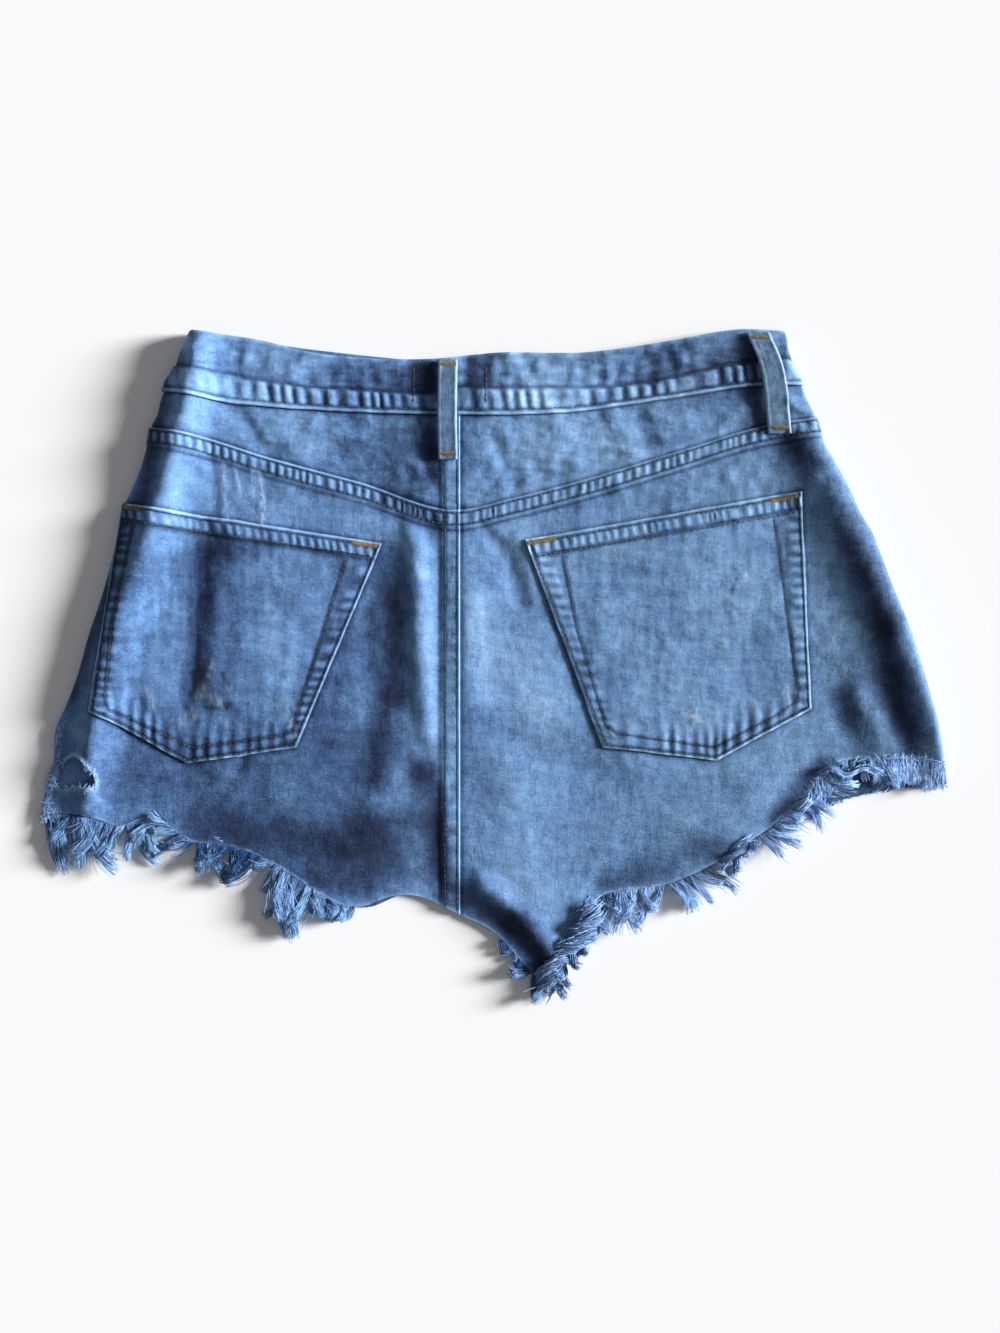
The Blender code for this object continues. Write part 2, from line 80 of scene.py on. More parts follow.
def smoothLine(columns, along, value):
    # a cubic through the rows with the slopes of their neighbours, level past the ends
    stops, values = columns[along], columns[value]
    slopes = np.gradient(values, stops)

    def at(place):
        before = np.clip(np.searchsorted(stops, place) - 1, 0, len(stops) - 2)
        run = stops[before + 1] - stops[before]
        t = np.clip((place - stops[before]) / run, 0.0, 1.0)
        start = (1 + 2 * t) * (1 - t) ** 2 * values[before] + t * (1 - t) ** 2 * run * slopes[before]
        end = t * t * (3 - 2 * t) * values[before + 1] - t * t * (1 - t) * run * slopes[before + 1]
        return start + end

    return at


def softNoise(u, v, seed):  # random heights on a square lattice, joined smoothly, from -1 to 1
    lattice = np.random.default_rng(seed).uniform(-1, 1, (64, 64))
    u, v = np.broadcast_arrays(np.asarray(u, float), np.asarray(v, float))
    lowU, lowV = np.floor(u).astype(int), np.floor(v).astype(int)
    partU, partV = ease(u - lowU), ease(v - lowV)
    corner = lambda a, b: lattice[(lowU + a) % 64, (lowV + b) % 64]
    near = corner(0, 0) * (1 - partU) + corner(1, 0) * partU
    far = corner(0, 1) * (1 - partU) + corner(1, 1) * partU
    return near * (1 - partV) + far * partV


def fromLines(rows, x, y, value):
    # the sum of bells around short lines. A line that starts where the last one ended carries it on: along
    # such a path the width and value run from each row's to the next one's, and the stronger bell counts.
    lines = np.stack([rows[key] for key in ("x1", "y1", "x2", "y2", "width", value)], axis=-1)
    total, path = 0.0, 0.0
    for number, (x1, y1, x2, y2, width, amount) in enumerate(lines):
        after = lines[min(number + 1, len(lines) - 1)]
        goesOn = after[0] == x2 and after[1] == y2
        nextWidth, nextAmount = after[4:] if goesOn else (width, amount)
        runX, runY = x2 - x1, y2 - y1
        share = np.clip(((x - x1) * runX + (y - y1) * runY) / max(runX**2 + runY**2, 1e-6), 0.0, 1.0)
        away = np.hypot(x - x1 - share * runX, y - y1 - share * runY)
        here = (amount + (nextAmount - amount) * share) * bell(away, width + (nextWidth - width) * share)
        if number and lines[number - 1][2] == x1 and lines[number - 1][3] == y1:
            path = np.where(np.abs(here) > np.abs(path), here, path)
        else:
            total, path = total + path, here
    return total + path


def pucker(along, period, seed):  # uneven waves, as a seam draws up the cloth
    drift = 1.0 * softNoise(along / (3.1 * period), 0.5, seed)
    drift = drift + 0.2 * softNoise(along / (1.1 * period), 2.5, seed + 2)
    strength = 0.65 + 0.55 * softNoise(along / (1.7 * period), 3.5, seed + 1)
    return np.sin(2 * math.pi * (along / period + drift)) * strength


# the garment's form
outline = table("y left right", [
    (-300, -257, 312), (-281, -254, 311), (-270, -252, 310), (-253, -247, 308), (-235, -246, 305),
    (-216, -238, 300), (-197, -231, 294.5), (-178, -226, 289), (-160, -220, 282), (-141, -214, 274),
    (-125, -210, 268), (-112, -207, 263), (-98, -204.5, 255), (-84, -198, 248.5), (-70, -192, 241),
    (-56, -188, 233), (-47, -186.5, 230), (-38, -182, 227), (-28, -179.5, 222), (-16, -175, 217.5),
    (-6, -169, 213), (3, -165.5, 210), (14, -161, 208),
])
waistBack = table("x y", [
    (-161, 14), (-122, 9), (-82, 0), (-49, -3), (-6, -3), (22, 0), (88, 1), (138, 8), (180, 15), (208, 14),
])
waistFront = table("x y", [(-161, 14), (-80, 2), (47, -6), (140, 4), (208, 14)])
bandSeamBack = table("x y", [
    (-176, -24), (-135, -31), (-69, -36), (0, -38), (71, -37), (138, -28), (195, -20), (219, -20),
])
bandSeamFront = table("x y", [(-176, -24), (-80, -36), (47, -45), (140, -34), (219, -20)])
bandRidge = table("x y", [
    (-176, -8), (-137, -14), (-96, -20.5), (-56, -23.5), (-10, -24.5), (6, -22), (42, -22.5), (130, -17.5),
    (172, -8), (219, -3),
])
yokeEdge = table("x y", [
    (-186, -46), (-154, -52), (-115, -64), (-56, -80), (6, -97), (38, -90), (88, -77), (138, -62), (195, -45),
    (232, -39),
])
yokeEdgeFront = table("x y", [(-186, -46), (-150, -42), (218, -39), (232, -39)])
legBack = table("x y", [
    (-257, -287), (-238, -286), (-221, -289), (-206, -294), (-192, -292), (-180, -291), (-170, -298),
    (-162, -303), (-145, -305), (-128, -309), (-109, -318), (-96, -326), (-84, -334), (-68, -343), (-54, -344),
    (-40, -339), (-28, -337), (8, -350), (31, -363), (48, -382), (60, -392), (70, -381), (80, -364), (92, -340),
    (102, -335), (120, -333), (136, -330), (156, -322), (172, -313), (186, -304), (204, -291), (216, -278),
    (228, -264), (240, -255), (254, -252), (298, -252), (311, -254),
])
legFront = table("x y", [
    (-257, -287), (-220, -280), (-180, -284), (-128, -299), (-90, -316), (-54, -345), (-28, -337), (8, -350),
    (31, -363), (46, -374), (74, -350), (100, -326), (150, -308), (200, -290), (232, -281), (252, -276),
    (271, -272), (311, -268),
])
# soft folds of the back: a ridge, or a trough where the rise is negative, along each line
folds = table("x1 y1 x2 y2 width rise", [
    (-155, 8, -162, -30, 11, 9.5), (-162, -30, -171, -64, 12, 11.5), (-171, -64, -187, -118, 13, 12.0),
    (-187, -118, -211, -190, 13, 11.4), (-211, -190, -218, -222, 13, 10.2), (-218, -222, -222, -248, 12, 10.2),
    (-222, -248, -226, -282, 11, 10.6), (-154, -108, -166, -212, 10, -2.0), (-134, -116, -146, -205, 12, 1.3),
    (-96, -150, -112, -215, 16, 0.7), (-25, -108, -20, -124, 6, 2.5), (-20, -124, -19, -172, 8.5, 4.6),
    (-19, -172, -15, -240, 8.5, 4.6), (-15, -240, -14, -262, 8, 3.0), (-48, -128, -50, -214, 12, -1.2),
    (-30, -236, -50, -294, 9, 1.4), (-50, -226, -62, -268, 9, -0.8), (-15, -246, -8, -320, 6, -2.0),
    (-18, -284, -82, -327, 12, 2.6), (-168, -268, -104, -305, 17, -2.0), (-104, -305, -74, -318, 14, -2.0),
    (-130, -254, -144, -276, 3.6, -1.7), (-144, -276, -146, -292, 3.6, -1.4), (-134, -36, -112, -64, 6, -1.5),
    (-124, -34, -100, -60, 8, 1.0), (-42, -88, -14, -103, 9, -1.6), (-26, -48, -12, -78, 4, -1.2),
    (-44, -50, -20, -60, 5, -1.0), (-80, -44, -44, -52, 9, 0.6), (-150, -64, -146, -96, 4, -0.6),
    (-118, -70, -112, -98, 4, -0.6), (10, -130, 13, -226, 12, 2.0), (20, -108, 36, -128, 4.5, -1.5),
    (36, -128, 43, -154, 5, -1.7), (46, -118, 52, -150, 6, 0.8), (12, -228, 58, -247, 11, -1.7),
    (58, -247, 104, -258, 11, -1.5), (36, -262, 50, -345, 20, 2.0), (20, -330, 44, -352, 8, 3.4),
    (44, -352, 63, -372, 8, 4.6), (68, -168, 94, -238, 8, -0.8), (140, -120, 150, -210, 26, 0.7),
    (222, -60, 241, -92, 13, 7.0), (241, -92, 270, -150, 17, 9.4), (270, -150, 294, -210, 17, 10.0),
    (294, -210, 308, -252, 15, 9.4), (234, -184, 256, -204, 8, 1.2), (254, -212, 278, -252, 9, 3.6),
    (244, -228, 251, -252, 7, -1.8), (204, -286, 232, -256, 9, -1.4), (110, -262, 160, -296, 18, 1.0),
    (176, -250, 196, -280, 12, 0.8), (118, -40, 127, -58, 6, -1.5), (104, -38, 110, -66, 8, 0.9),
    (26, -52, 40, -80, 5, -0.8), (60, -44, 76, -70, 10, 0.8), (206, -52, 232, -76, 8, -1.8),
    (204, -24, 216, -34, 4, 1.3), (206, -34, 222, -44, 4, -1.2), (176, -30, 186, -42, 5, 0.8),
])
form = {
    "clothWall": 1.1, "bandWall": 2.0, "backHeight": 4.8, "frontWaistLift": 2.6, "backWaistLift": 2.1,
    "liftFrom": -98.0, "liftTo": -58.0, "hemDrop": 1.4, "hemRun": 30.0, "closureRise": 1.4, "closureReach": 48.0,
    "runLeft": 8.0, "runRight": 8.0, "lap": 6.5, "layerGap": 2.7, "bandProud": 0.6,
}
leftFold, rightFold = smoothLine(outline, "y", "left"), smoothLine(outline, "y", "right")
legBackLine = smoothLine(legBack, "x", "y")


def centreFront(y):  # the centre front slants from the button to the crotch
    return np.interp(y, (-350.0, -6.0), (2.0, 47.0))


def nearWaist(y):  # 0 down the legs, rising to 1 towards the waist
    return ease((y - form["liftFrom"]) / (form["liftTo"] - form["liftFrom"]))


def frontHeight(y):
    return form["frontWaistLift"] * nearWaist(y)


def backHeight(x, y):  # a level, raised at the waist and over the button, lowered at the hem, plus the folds
    waist = form["backWaistLift"] * nearWaist(y)
    nearHem = 1.0 - ease((y - legBackLine(x)) / form["hemRun"])
    closure = 1.0 - ease(np.hypot(x - centreFront(-25.0), y + 25.0) / form["closureReach"])
    relief = fromLines(folds, x, y, "rise") * (1.0 - 0.35 * nearHem) + 0.35 * softNoise(x / 21, y / 26, 5)
    crumple = 0.18 + 0.32 * ease((y + 110) / 25)
    relief = relief + crumple * softNoise((x + 0.5 * y) / 9, (y - 0.3 * x) / 13, 6)
    relief = relief + 0.55 * crumple * softNoise((x - 0.6 * y) / 5, (y + 0.4 * x) / 7, 7)
    height = form["backHeight"] + waist - form["hemDrop"] * nearHem + form["closureRise"] * closure + relief
    lowest = frontHeight(y) + form["layerGap"]
    over = height - lowest
    return lowest + np.where(over > 1.0, over, np.exp(np.minimum(over, 1.0) - 1.0))


def ringPlace(w, y):
    # the flattened tube: on the back w is x, and past a side fold it runs on under the fold and along the front
    fromLeft = w - leftFold(y) + form["runLeft"] / 2
    fromRight = rightFold(y) - w + form["runRight"] / 2
    onLeft = fromLeft < fromRight
    run = np.where(onLeft, form["runLeft"], form["runRight"])
    past = np.minimum(fromLeft, fromRight)
    far = np.abs(past)
    inward = np.where(far < run, far**2 / (2 * run), far - run / 2)
    x = np.where(onLeft, leftFold(y) + inward, rightFold(y) - inward)
    low = frontHeight(y)
    return x, low + (backHeight(x, y) - low) * ease((past + run) / (2 * run)), past > 0


def tubePoints(w, y, lift):  # points moved out from the tube along its normals
    def point(w, y):
        x, z, _ = ringPlace(w, y)
        return np.stack([x, y + 0.0 * x, z], axis=-1)

    step = 0.4
    normal = np.cross(point(w + step, y) - point(w - step, y), point(w, y + step) - point(w, y - step))
    normal /= np.linalg.norm(normal, axis=-1, keepdims=True)
    return point(w, y) + normal * np.asarray(lift + 0.0 * w)[..., None], normal


def edgeLine(back, front, drop=0.0):  # the height of a seam or cut edge all round the tube
    onBack, onFront = smoothLine(back, "x", "y"), smoothLine(front, "x", "y")

    def at(w, y):
        x, _, isBack = ringPlace(w, y)
        return np.where(isBack, onBack(x), onFront(x)) - drop

    return at


def foldLine(side, fromCrest):  # a line up the garment, this far round from the crest of a side fold
    if side == "left":
        return lambda y: leftFold(y) - form["runLeft"] / 2 + fromCrest
    return lambda y: rightFold(y) + form["runRight"] / 2 - fromCrest


def centreFrontLine(side, past):
    if side == "left":
        return lambda y: 2 * leftFold(y) - form["runLeft"] - centreFront(y) - past
    return lambda y: 2 * rightFold(y) + form["runRight"] - centreFront(y) + past


def leftSeamLine(side):  # the left side seam is straight and lies on the front
    return lambda y: 2 * leftFold(y) - form["runLeft"] - np.interp(y, (-290, 15), (-218, -124)) + side * 0.15


def rightSeamLine(side):
    return foldLine("right", -form["runRight"] - 2.0 - side * 0.3)


def upLine(x):
    return lambda y: np.full_like(y, float(x))


def rowPlan(steps, top=(0.0,), bottom=(0.0,)):  # rows close together by the two edges and even between
    share = np.concatenate([np.zeros(len(top) - 1), np.linspace(0, 1, steps + 1), np.ones(len(bottom) - 1)])
    down = np.concatenate([top[:-1], np.full(steps + 1, top[-1]), np.zeros(len(bottom) - 1)])
    up = np.concatenate([np.zeros(len(top) - 1), np.full(steps + 1, bottom[-1]), bottom[:-1][::-1]])
    return share[:, None], down[:, None], up[:, None]


def makeGrid(spans, top, bottom, rows):
    # columns share out the width between pairs of lines, rows the height between two edges
    share, down, up = rows
    total = sum(steps for _, _, steps in spans) + 1
    y = np.full((len(share), total), -100.0)
    for _ in range(40):
        w = np.empty_like(y)
        first = 0
        for number, (start, end, steps) in enumerate(spans):
            count = steps + (number == len(spans) - 1)
            part = np.arange(count) / steps
            block = y[:, first:first + count]
            w[:, first:first + count] = start(block) * (1 - part) + end(block) * part
            first += count
        y = (y + (1 - share) * (top(w, y) - down) + share * (bottom(w, y) + up)) / 2
    return w, y


print("form ready")


# making meshes
def camelName(node):
    first, *others = node.split("_")
    return first + "".join(word.capitalize() for word in others)


def makeMesh(name, points, faces, material, values=None, uv=None):
    mesh = bpy.data.meshes.new(name)
    mesh.from_pydata(((points + shift) * mm).tolist(), [], faces)
    for key, value in (values or {}).items():
        mesh.attributes.new(key, "FLOAT", "POINT").data.foreach_set("value", value.astype(np.float32))
    if uv is not None:
        corner = np.empty(len(mesh.loops), np.int32)
        mesh.loops.foreach_get("vertex_index", corner)
        mesh.uv_layers.new(name="cloth").data.foreach_set("uv", (uv[corner] * mm).astype(np.float32).ravel())
    mesh.shade_smooth()
    mesh.materials.append(material)
    piece = bpy.data.objects.new(name, mesh)
    bpy.context.scene.collection.objects.link(piece)
    return piece


def clothWall(name, w, y, detail, wall, material, inside=0.42, gone=None, place=tubePoints):
    # the outer face is the tube moved out by the detail's lift, the inner one lies a wall's thickness below
    outer, normal = place(w, y, detail["lift"])
    inner = outer - normal * wall
    count = w.size
    index = np.arange(count).reshape(w.shape)
    quads = np.stack([index[:-1, :-1], index[1:, :-1], index[1:, 1:], index[:-1, 1:]], axis=-1)
    quads = quads.reshape(-1, 4) if gone is None else quads[~gone]
    start, end = quads.ravel(), np.roll(quads, -1, axis=1).ravel()
    rim = ~np.isin(start * count + end, end * count + start)
    start, end = start[rim], end[rim]
    sides = np.stack([end, start, start + count, end + count], axis=-1)
    faces = np.concatenate([quads, quads[:, ::-1] + count, sides])
    used, faces = np.unique(faces, return_inverse=True)
    points = np.concatenate([outer.reshape(-1, 3), inner.reshape(-1, 3)])[used]
    fade = np.concatenate([detail["fade"].ravel(), np.full(count, inside)])[used]
    wear = np.concatenate([detail["wear"].ravel(), np.zeros(count)])[used]
    uv = np.stack([w.ravel(), y.ravel()], axis=-1)
    piece = makeMesh(name, points, faces.reshape(-1, 4).tolist(), material, {"fade": fade, "wear": wear},
                     np.concatenate([uv, uv])[used])
    piece.data.set_sharp_from_angle(angle=math.radians(50))
    return piece


def declare(piece, node, w, y):
    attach(piece, "root")
    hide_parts(node)
    x, _, isBack = ringPlace(w, y)
    w = w if isBack.any() else x


def tubes(name, paths, radii, sides, tone, material):
    # many thin closed tubes: a ring of points around each place of each path
    tangent = np.gradient(paths, axis=1)
    tangent /= np.linalg.norm(tangent, axis=-1, keepdims=True) + 1e-9
    up = np.where(np.abs(tangent[..., 2:3]) > 0.9, np.array([1.0, 0, 0]), np.array([0, 0, 1.0]))
    side = np.cross(tangent, up)
    side /= np.linalg.norm(side, axis=-1, keepdims=True) + 1e-9
    other = np.cross(tangent, side)
    turn = np.arange(sides) / sides * 2 * math.pi
    around = side[:, :, None] * np.cos(turn)[:, None] + other[:, :, None] * np.sin(turn)[:, None]
    points = paths[:, :, None] + around * radii[:, :, None, None]
    count, rings = paths.shape[:2]
    index = np.arange(count * rings * sides).reshape(count, rings, sides)
    after = np.roll(index, -1, axis=2)
    quads = np.stack([index[:, :-1], after[:, :-1], after[:, 1:], index[:, 1:]], axis=-1).reshape(-1, 4)
    caps = np.concatenate([index[:, 0, ::-1], index[:, -1]])
    values = {"tone": np.broadcast_to(tone[:, :, None], index.shape).ravel()}
    return makeMesh(name, points.reshape(-1, 3), quads.tolist() + caps.tolist(), material, values)


# materials
def addGroup(name, inputs, outputs):
    group = bpy.data.node_groups.new(name, "ShaderNodeTree")
    for socket, kind, value in inputs:
        made = group.interface.new_socket(socket, in_out="INPUT", socket_type=kind)
        if value is not None:
            made.default_value = value
    for socket, kind in outputs:
        group.interface.new_socket(socket, in_out="OUTPUT", socket_type=kind)
    return group, group.nodes.new("NodeGroupInput"), group.nodes.new("NodeGroupOutput")


def mathNode(tree, operation, a, b=None):
    node = tree.nodes.new("ShaderNodeMath")
    node.operation = operation
    for socket, value in zip(node.inputs, (a, b)):
        if isinstance(value, (int, float)):
            socket.default_value = value
        elif value is not None:
            tree.links.new(value, socket)
    return node.outputs[0]


def noiseNode(tree, vector, scale, detail, stretch=(1.0, 1.0, 1.0), turn=0.0):
    mapping = tree.nodes.new("ShaderNodeMapping")
    mapping.inputs["Scale"].default_value = stretch
    mapping.inputs["Rotation"].default_value = (0.0, 0.0, turn)
    tree.links.new(vector, mapping.inputs["Vector"])
    noise = tree.nodes.new("ShaderNodeTexNoise")
    noise.inputs["Scale"].default_value = scale
    noise.inputs["Detail"].default_value = detail
    noise.inputs["Roughness"].default_value = 0.6
    tree.links.new(mapping.outputs[0], noise.inputs["Vector"])
    return noise.outputs["Fac"]


def newMaterial(name):
    material = bpy.data.materials.new(name)
    material.use_nodes = True
    return material, material.node_tree, material.node_tree.nodes["Principled BSDF"]


def setInputs(shader, values):
    for socket, value in values.items():
        shader.inputs[socket].default_value = value


def attributeNode(tree, name):
    node = tree.nodes.new("ShaderNodeAttribute")
    node.attribute_name = name
    return node.outputs["Fac"]


def rampNode(tree, factor, stops):  # blends through colours, each at a place from 0 to 1
    node = tree.nodes.new("ShaderNodeValToRGB")
    elements = node.color_ramp.elements
    for position, colour in stops[1:-1]:
        elements.new(position).color = (*colour, 1.0)
    elements[0].color = (*stops[0][1], 1.0)
    elements[len(elements) - 1].color = (*stops[-1][1], 1.0)
    tree.links.new(factor, node.inputs["Fac"])
    return node.outputs["Color"]


def mixNode(tree, blend, share, first, second):  # two colours, blended or multiplied
    node = tree.nodes.new("ShaderNodeMix")
    node.data_type, node.blend_type = "RGBA", blend
    for socket, value in ((node.inputs[0], share), (node.inputs[6], first), (node.inputs[7], second)):
        if isinstance(value, (float, tuple)):
            socket.default_value = value
        else:
            tree.links.new(value, socket)
    return node.outputs[2]


def addBump(tree, shader, height, strength, distance):
    node = tree.nodes.new("ShaderNodeBump")
    node.inputs["Strength"].default_value = strength
    node.inputs["Distance"].default_value = distance
    tree.links.new(height, node.inputs["Height"])
    tree.links.new(node.outputs[0], shader.inputs["Normal"])


denimDye = [  # where on the scale from raw indigo to bare cotton, and the colour there
    (0.0, (0.006, 0.014, 0.042)), (0.18, (0.018, 0.040, 0.105)), (0.36, (0.055, 0.115, 0.245)),
    (0.52, (0.115, 0.232, 0.435)), (0.68, (0.190, 0.345, 0.585)), (0.84, (0.29, 0.50, 0.78)),
    (1.0, (0.46, 0.68, 0.93)),
]
bareCotton = (0.46, 0.64, 0.84, 1.0)
coolToWarm = [(0.0, (0.96, 0.985, 1.03)), (1.0, (1.11, 1.04, 0.94))]
denimLook = {"slub": 0.15, "weft": 0.05, "mottle": 0.21, "crumple": 0.34, "grain": 0.46, "twill": 0.03}


def makeDenimGroup():
    # shade = fading with painted shade and highlights from the mesh + faint streaks both ways + blotches + crumples +
    # grain + twill lines
    group, given, result = addGroup(
        "denimWeave",
        [("Cloth", "NodeSocketVector", None), ("Fade", "NodeSocketFloat", 0.5), ("Wear", "NodeSocketFloat", 0.0),
         ("Wrinkles", "NodeSocketFloat", 0.5)],
        [("Color", "NodeSocketColor"), ("Height", "NodeSocketFloat")],
    )
    cloth = given.outputs["Cloth"]
    slub = noiseNode(group, cloth, 1.0, 3.0, (640.0, 90.0, 1.0))
    weft = noiseNode(group, cloth, 1.0, 2.0, (90.0, 560.0, 1.0))
    mottle = noiseNode(group, cloth, 48.0, 4.0)
    crumple = noiseNode(group, cloth, 150.0, 3.0)
    grain = noiseNode(group, cloth, 820.0, 3.0)
    apart = group.nodes.new("ShaderNodeSeparateXYZ")
    group.links.new(cloth, apart.inputs[0])
    diagonal = mathNode(group, "ADD", apart.outputs["X"], apart.outputs["Y"])
    twill = mathNode(group, "SINE", mathNode(group, "MULTIPLY", diagonal, 2 * math.pi * 780.0))
    shade = given.outputs["Fade"]
    oneWay = noiseNode(group, cloth, 1.0, 1.5, (38.0, 105.0, 1.0), 0.6)
    otherWay = noiseNode(group, cloth, 1.0, 1.5, (30.0, 90.0, 1.0), -0.9)
    wrinkles = mathNode(group, "ADD", oneWay, otherWay)
    wrinkles = mathNode(group, "MULTIPLY", mathNode(group, "SUBTRACT", wrinkles, 1.0), given.outputs["Wrinkles"])
    shade = mathNode(group, "ADD", shade, mathNode(group, "MULTIPLY", wrinkles, 0.16))
    for value, amount in ((slub, "slub"), (weft, "weft"), (mottle, "mottle"), (crumple, "crumple"), (grain, "grain")):
        part = mathNode(group, "MULTIPLY", mathNode(group, "SUBTRACT", value, 0.5), denimLook[amount])
        shade = mathNode(group, "ADD", shade, part)
    shade = mathNode(group, "ADD", shade, mathNode(group, "MULTIPLY", twill, denimLook["twill"]))
    bare = mathNode(group, "MULTIPLY", given.outputs["Wear"], mathNode(group, "ADD", grain, 0.35))
    bare = mathNode(group, "MINIMUM", bare, 0.85)
    dyed = mixNode(group, "MIX", bare, rampNode(group, shade, denimDye), bareCotton)
    drift = mathNode(group, "MULTIPLY", mathNode(group, "SUBTRACT", noiseNode(group, cloth, 22.0, 2.0), 0.5), 1.4)
    drift = mathNode(group, "ADD", drift, mathNode(group, "MULTIPLY", apart.outputs["X"], 2.2))
    cast = rampNode(group, mathNode(group, "ADD", drift, 0.3), coolToWarm)
    group.links.new(mixNode(group, "MULTIPLY", 1.0, dyed, cast), result.inputs["Color"])
    height = mathNode(group, "MULTIPLY", crumple, 1.6)
    for value, amount in ((twill, 0.05), (slub, 0.35), (weft, 0.25), (grain, 0.5), (mottle, 1.2)):
        height = mathNode(group, "ADD", height, mathNode(group, "MULTIPLY", value, amount))
    height = mathNode(group, "ADD", height, mathNode(group, "MULTIPLY", wrinkles, 5.0))
    group.links.new(height, result.inputs["Height"])
    return group


def makeDenim(name, shade=0.0, bump=0.5, wrinkles=0.5, tint=(1.0, 1.0, 1.0)):
    material, tree, shader = newMaterial(name)
    weave = tree.nodes.new("ShaderNodeGroup")
    weave.node_tree = denimWeave
    uv = tree.nodes.new("ShaderNodeUVMap")
    uv.uv_map = "cloth"
    tree.links.new(uv.outputs[0], weave.inputs["Cloth"])
    # this mesh attribute holds the dye's fading together with painted shade and painted highlights
    tree.links.new(mathNode(tree, "ADD", attributeNode(tree, "fade"), shade), weave.inputs["Fade"])
    tree.links.new(attributeNode(tree, "wear"), weave.inputs["Wear"])
    weave.inputs["Wrinkles"].default_value = wrinkles
    tinted = mixNode(tree, "MULTIPLY", 1.0, weave.outputs["Color"], (*tint, 1.0))
    tree.links.new(tinted, shader.inputs["Base Color"])
    addBump(tree, shader, weave.outputs["Height"], bump, 0.0009)
    setInputs(shader, {"Roughness": 0.9, "Specular IOR Level": 0.25, "Sheen Weight": 0.12, "Sheen Roughness": 0.5})
    return material


def makeThread(name, dark, pale):  # a tone from 0 to 1 along each thread blends two colours
    material, tree, shader = newMaterial(name)
    coordinates = tree.nodes.new("ShaderNodeTexCoord")
    grain = noiseNode(tree, coordinates.outputs["Object"], 700.0, 2.0)
    speckle = mathNode(tree, "MULTIPLY", mathNode(tree, "SUBTRACT", grain, 0.5), 0.5)
    tone = mathNode(tree, "ADD", attributeNode(tree, "tone"), speckle)
    tree.links.new(rampNode(tree, tone, [(0.0, dark), (1.0, pale)]), shader.inputs["Base Color"])
    addBump(tree, shader, grain, 0.3, 0.0002)
    setInputs(shader, {"Roughness": 0.92, "Specular IOR Level": 0.12, "Sheen Weight": 0.06})
    return material


denimWeave = makeDenimGroup()
bandDenim = makeDenim("bandDenim", 0.01, 0.6, 1.0)
panelDenim = makeDenim("panelDenim", 0.01, 0.5, 0.45)
pocketDenim = makeDenim("pocketDenim", 0.01, 0.5, 0.6)
loopDenim = makeDenim("loopDenim", -0.02, 0.4, 0.0, (1.05, 0.97, 0.86))
# the topstitching thread's dark olive is partly its own colour, partly painted shade of the grooves it lies in
seamThread = makeThread("seamThread", (0.016, 0.034, 0.046), (0.070, 0.112, 0.118))
tackThread = makeThread("tackThread", (0.12, 0.08, 0.03), (0.36, 0.26, 0.11))
frayThread = makeThread("frayThread", (0.012, 0.05, 0.165), (0.34, 0.58, 0.90))
paleFray = makeThread("paleFray", (0.026, 0.082, 0.23), (0.42, 0.64, 0.98))
print("materials ready")

# fading and wear
shades = {"back": 0.497, "front": 0.46, "bandFront": 0.5, "fly": 0.45, "loop": 0.47}  # 0 raw indigo, 1 bare cotton
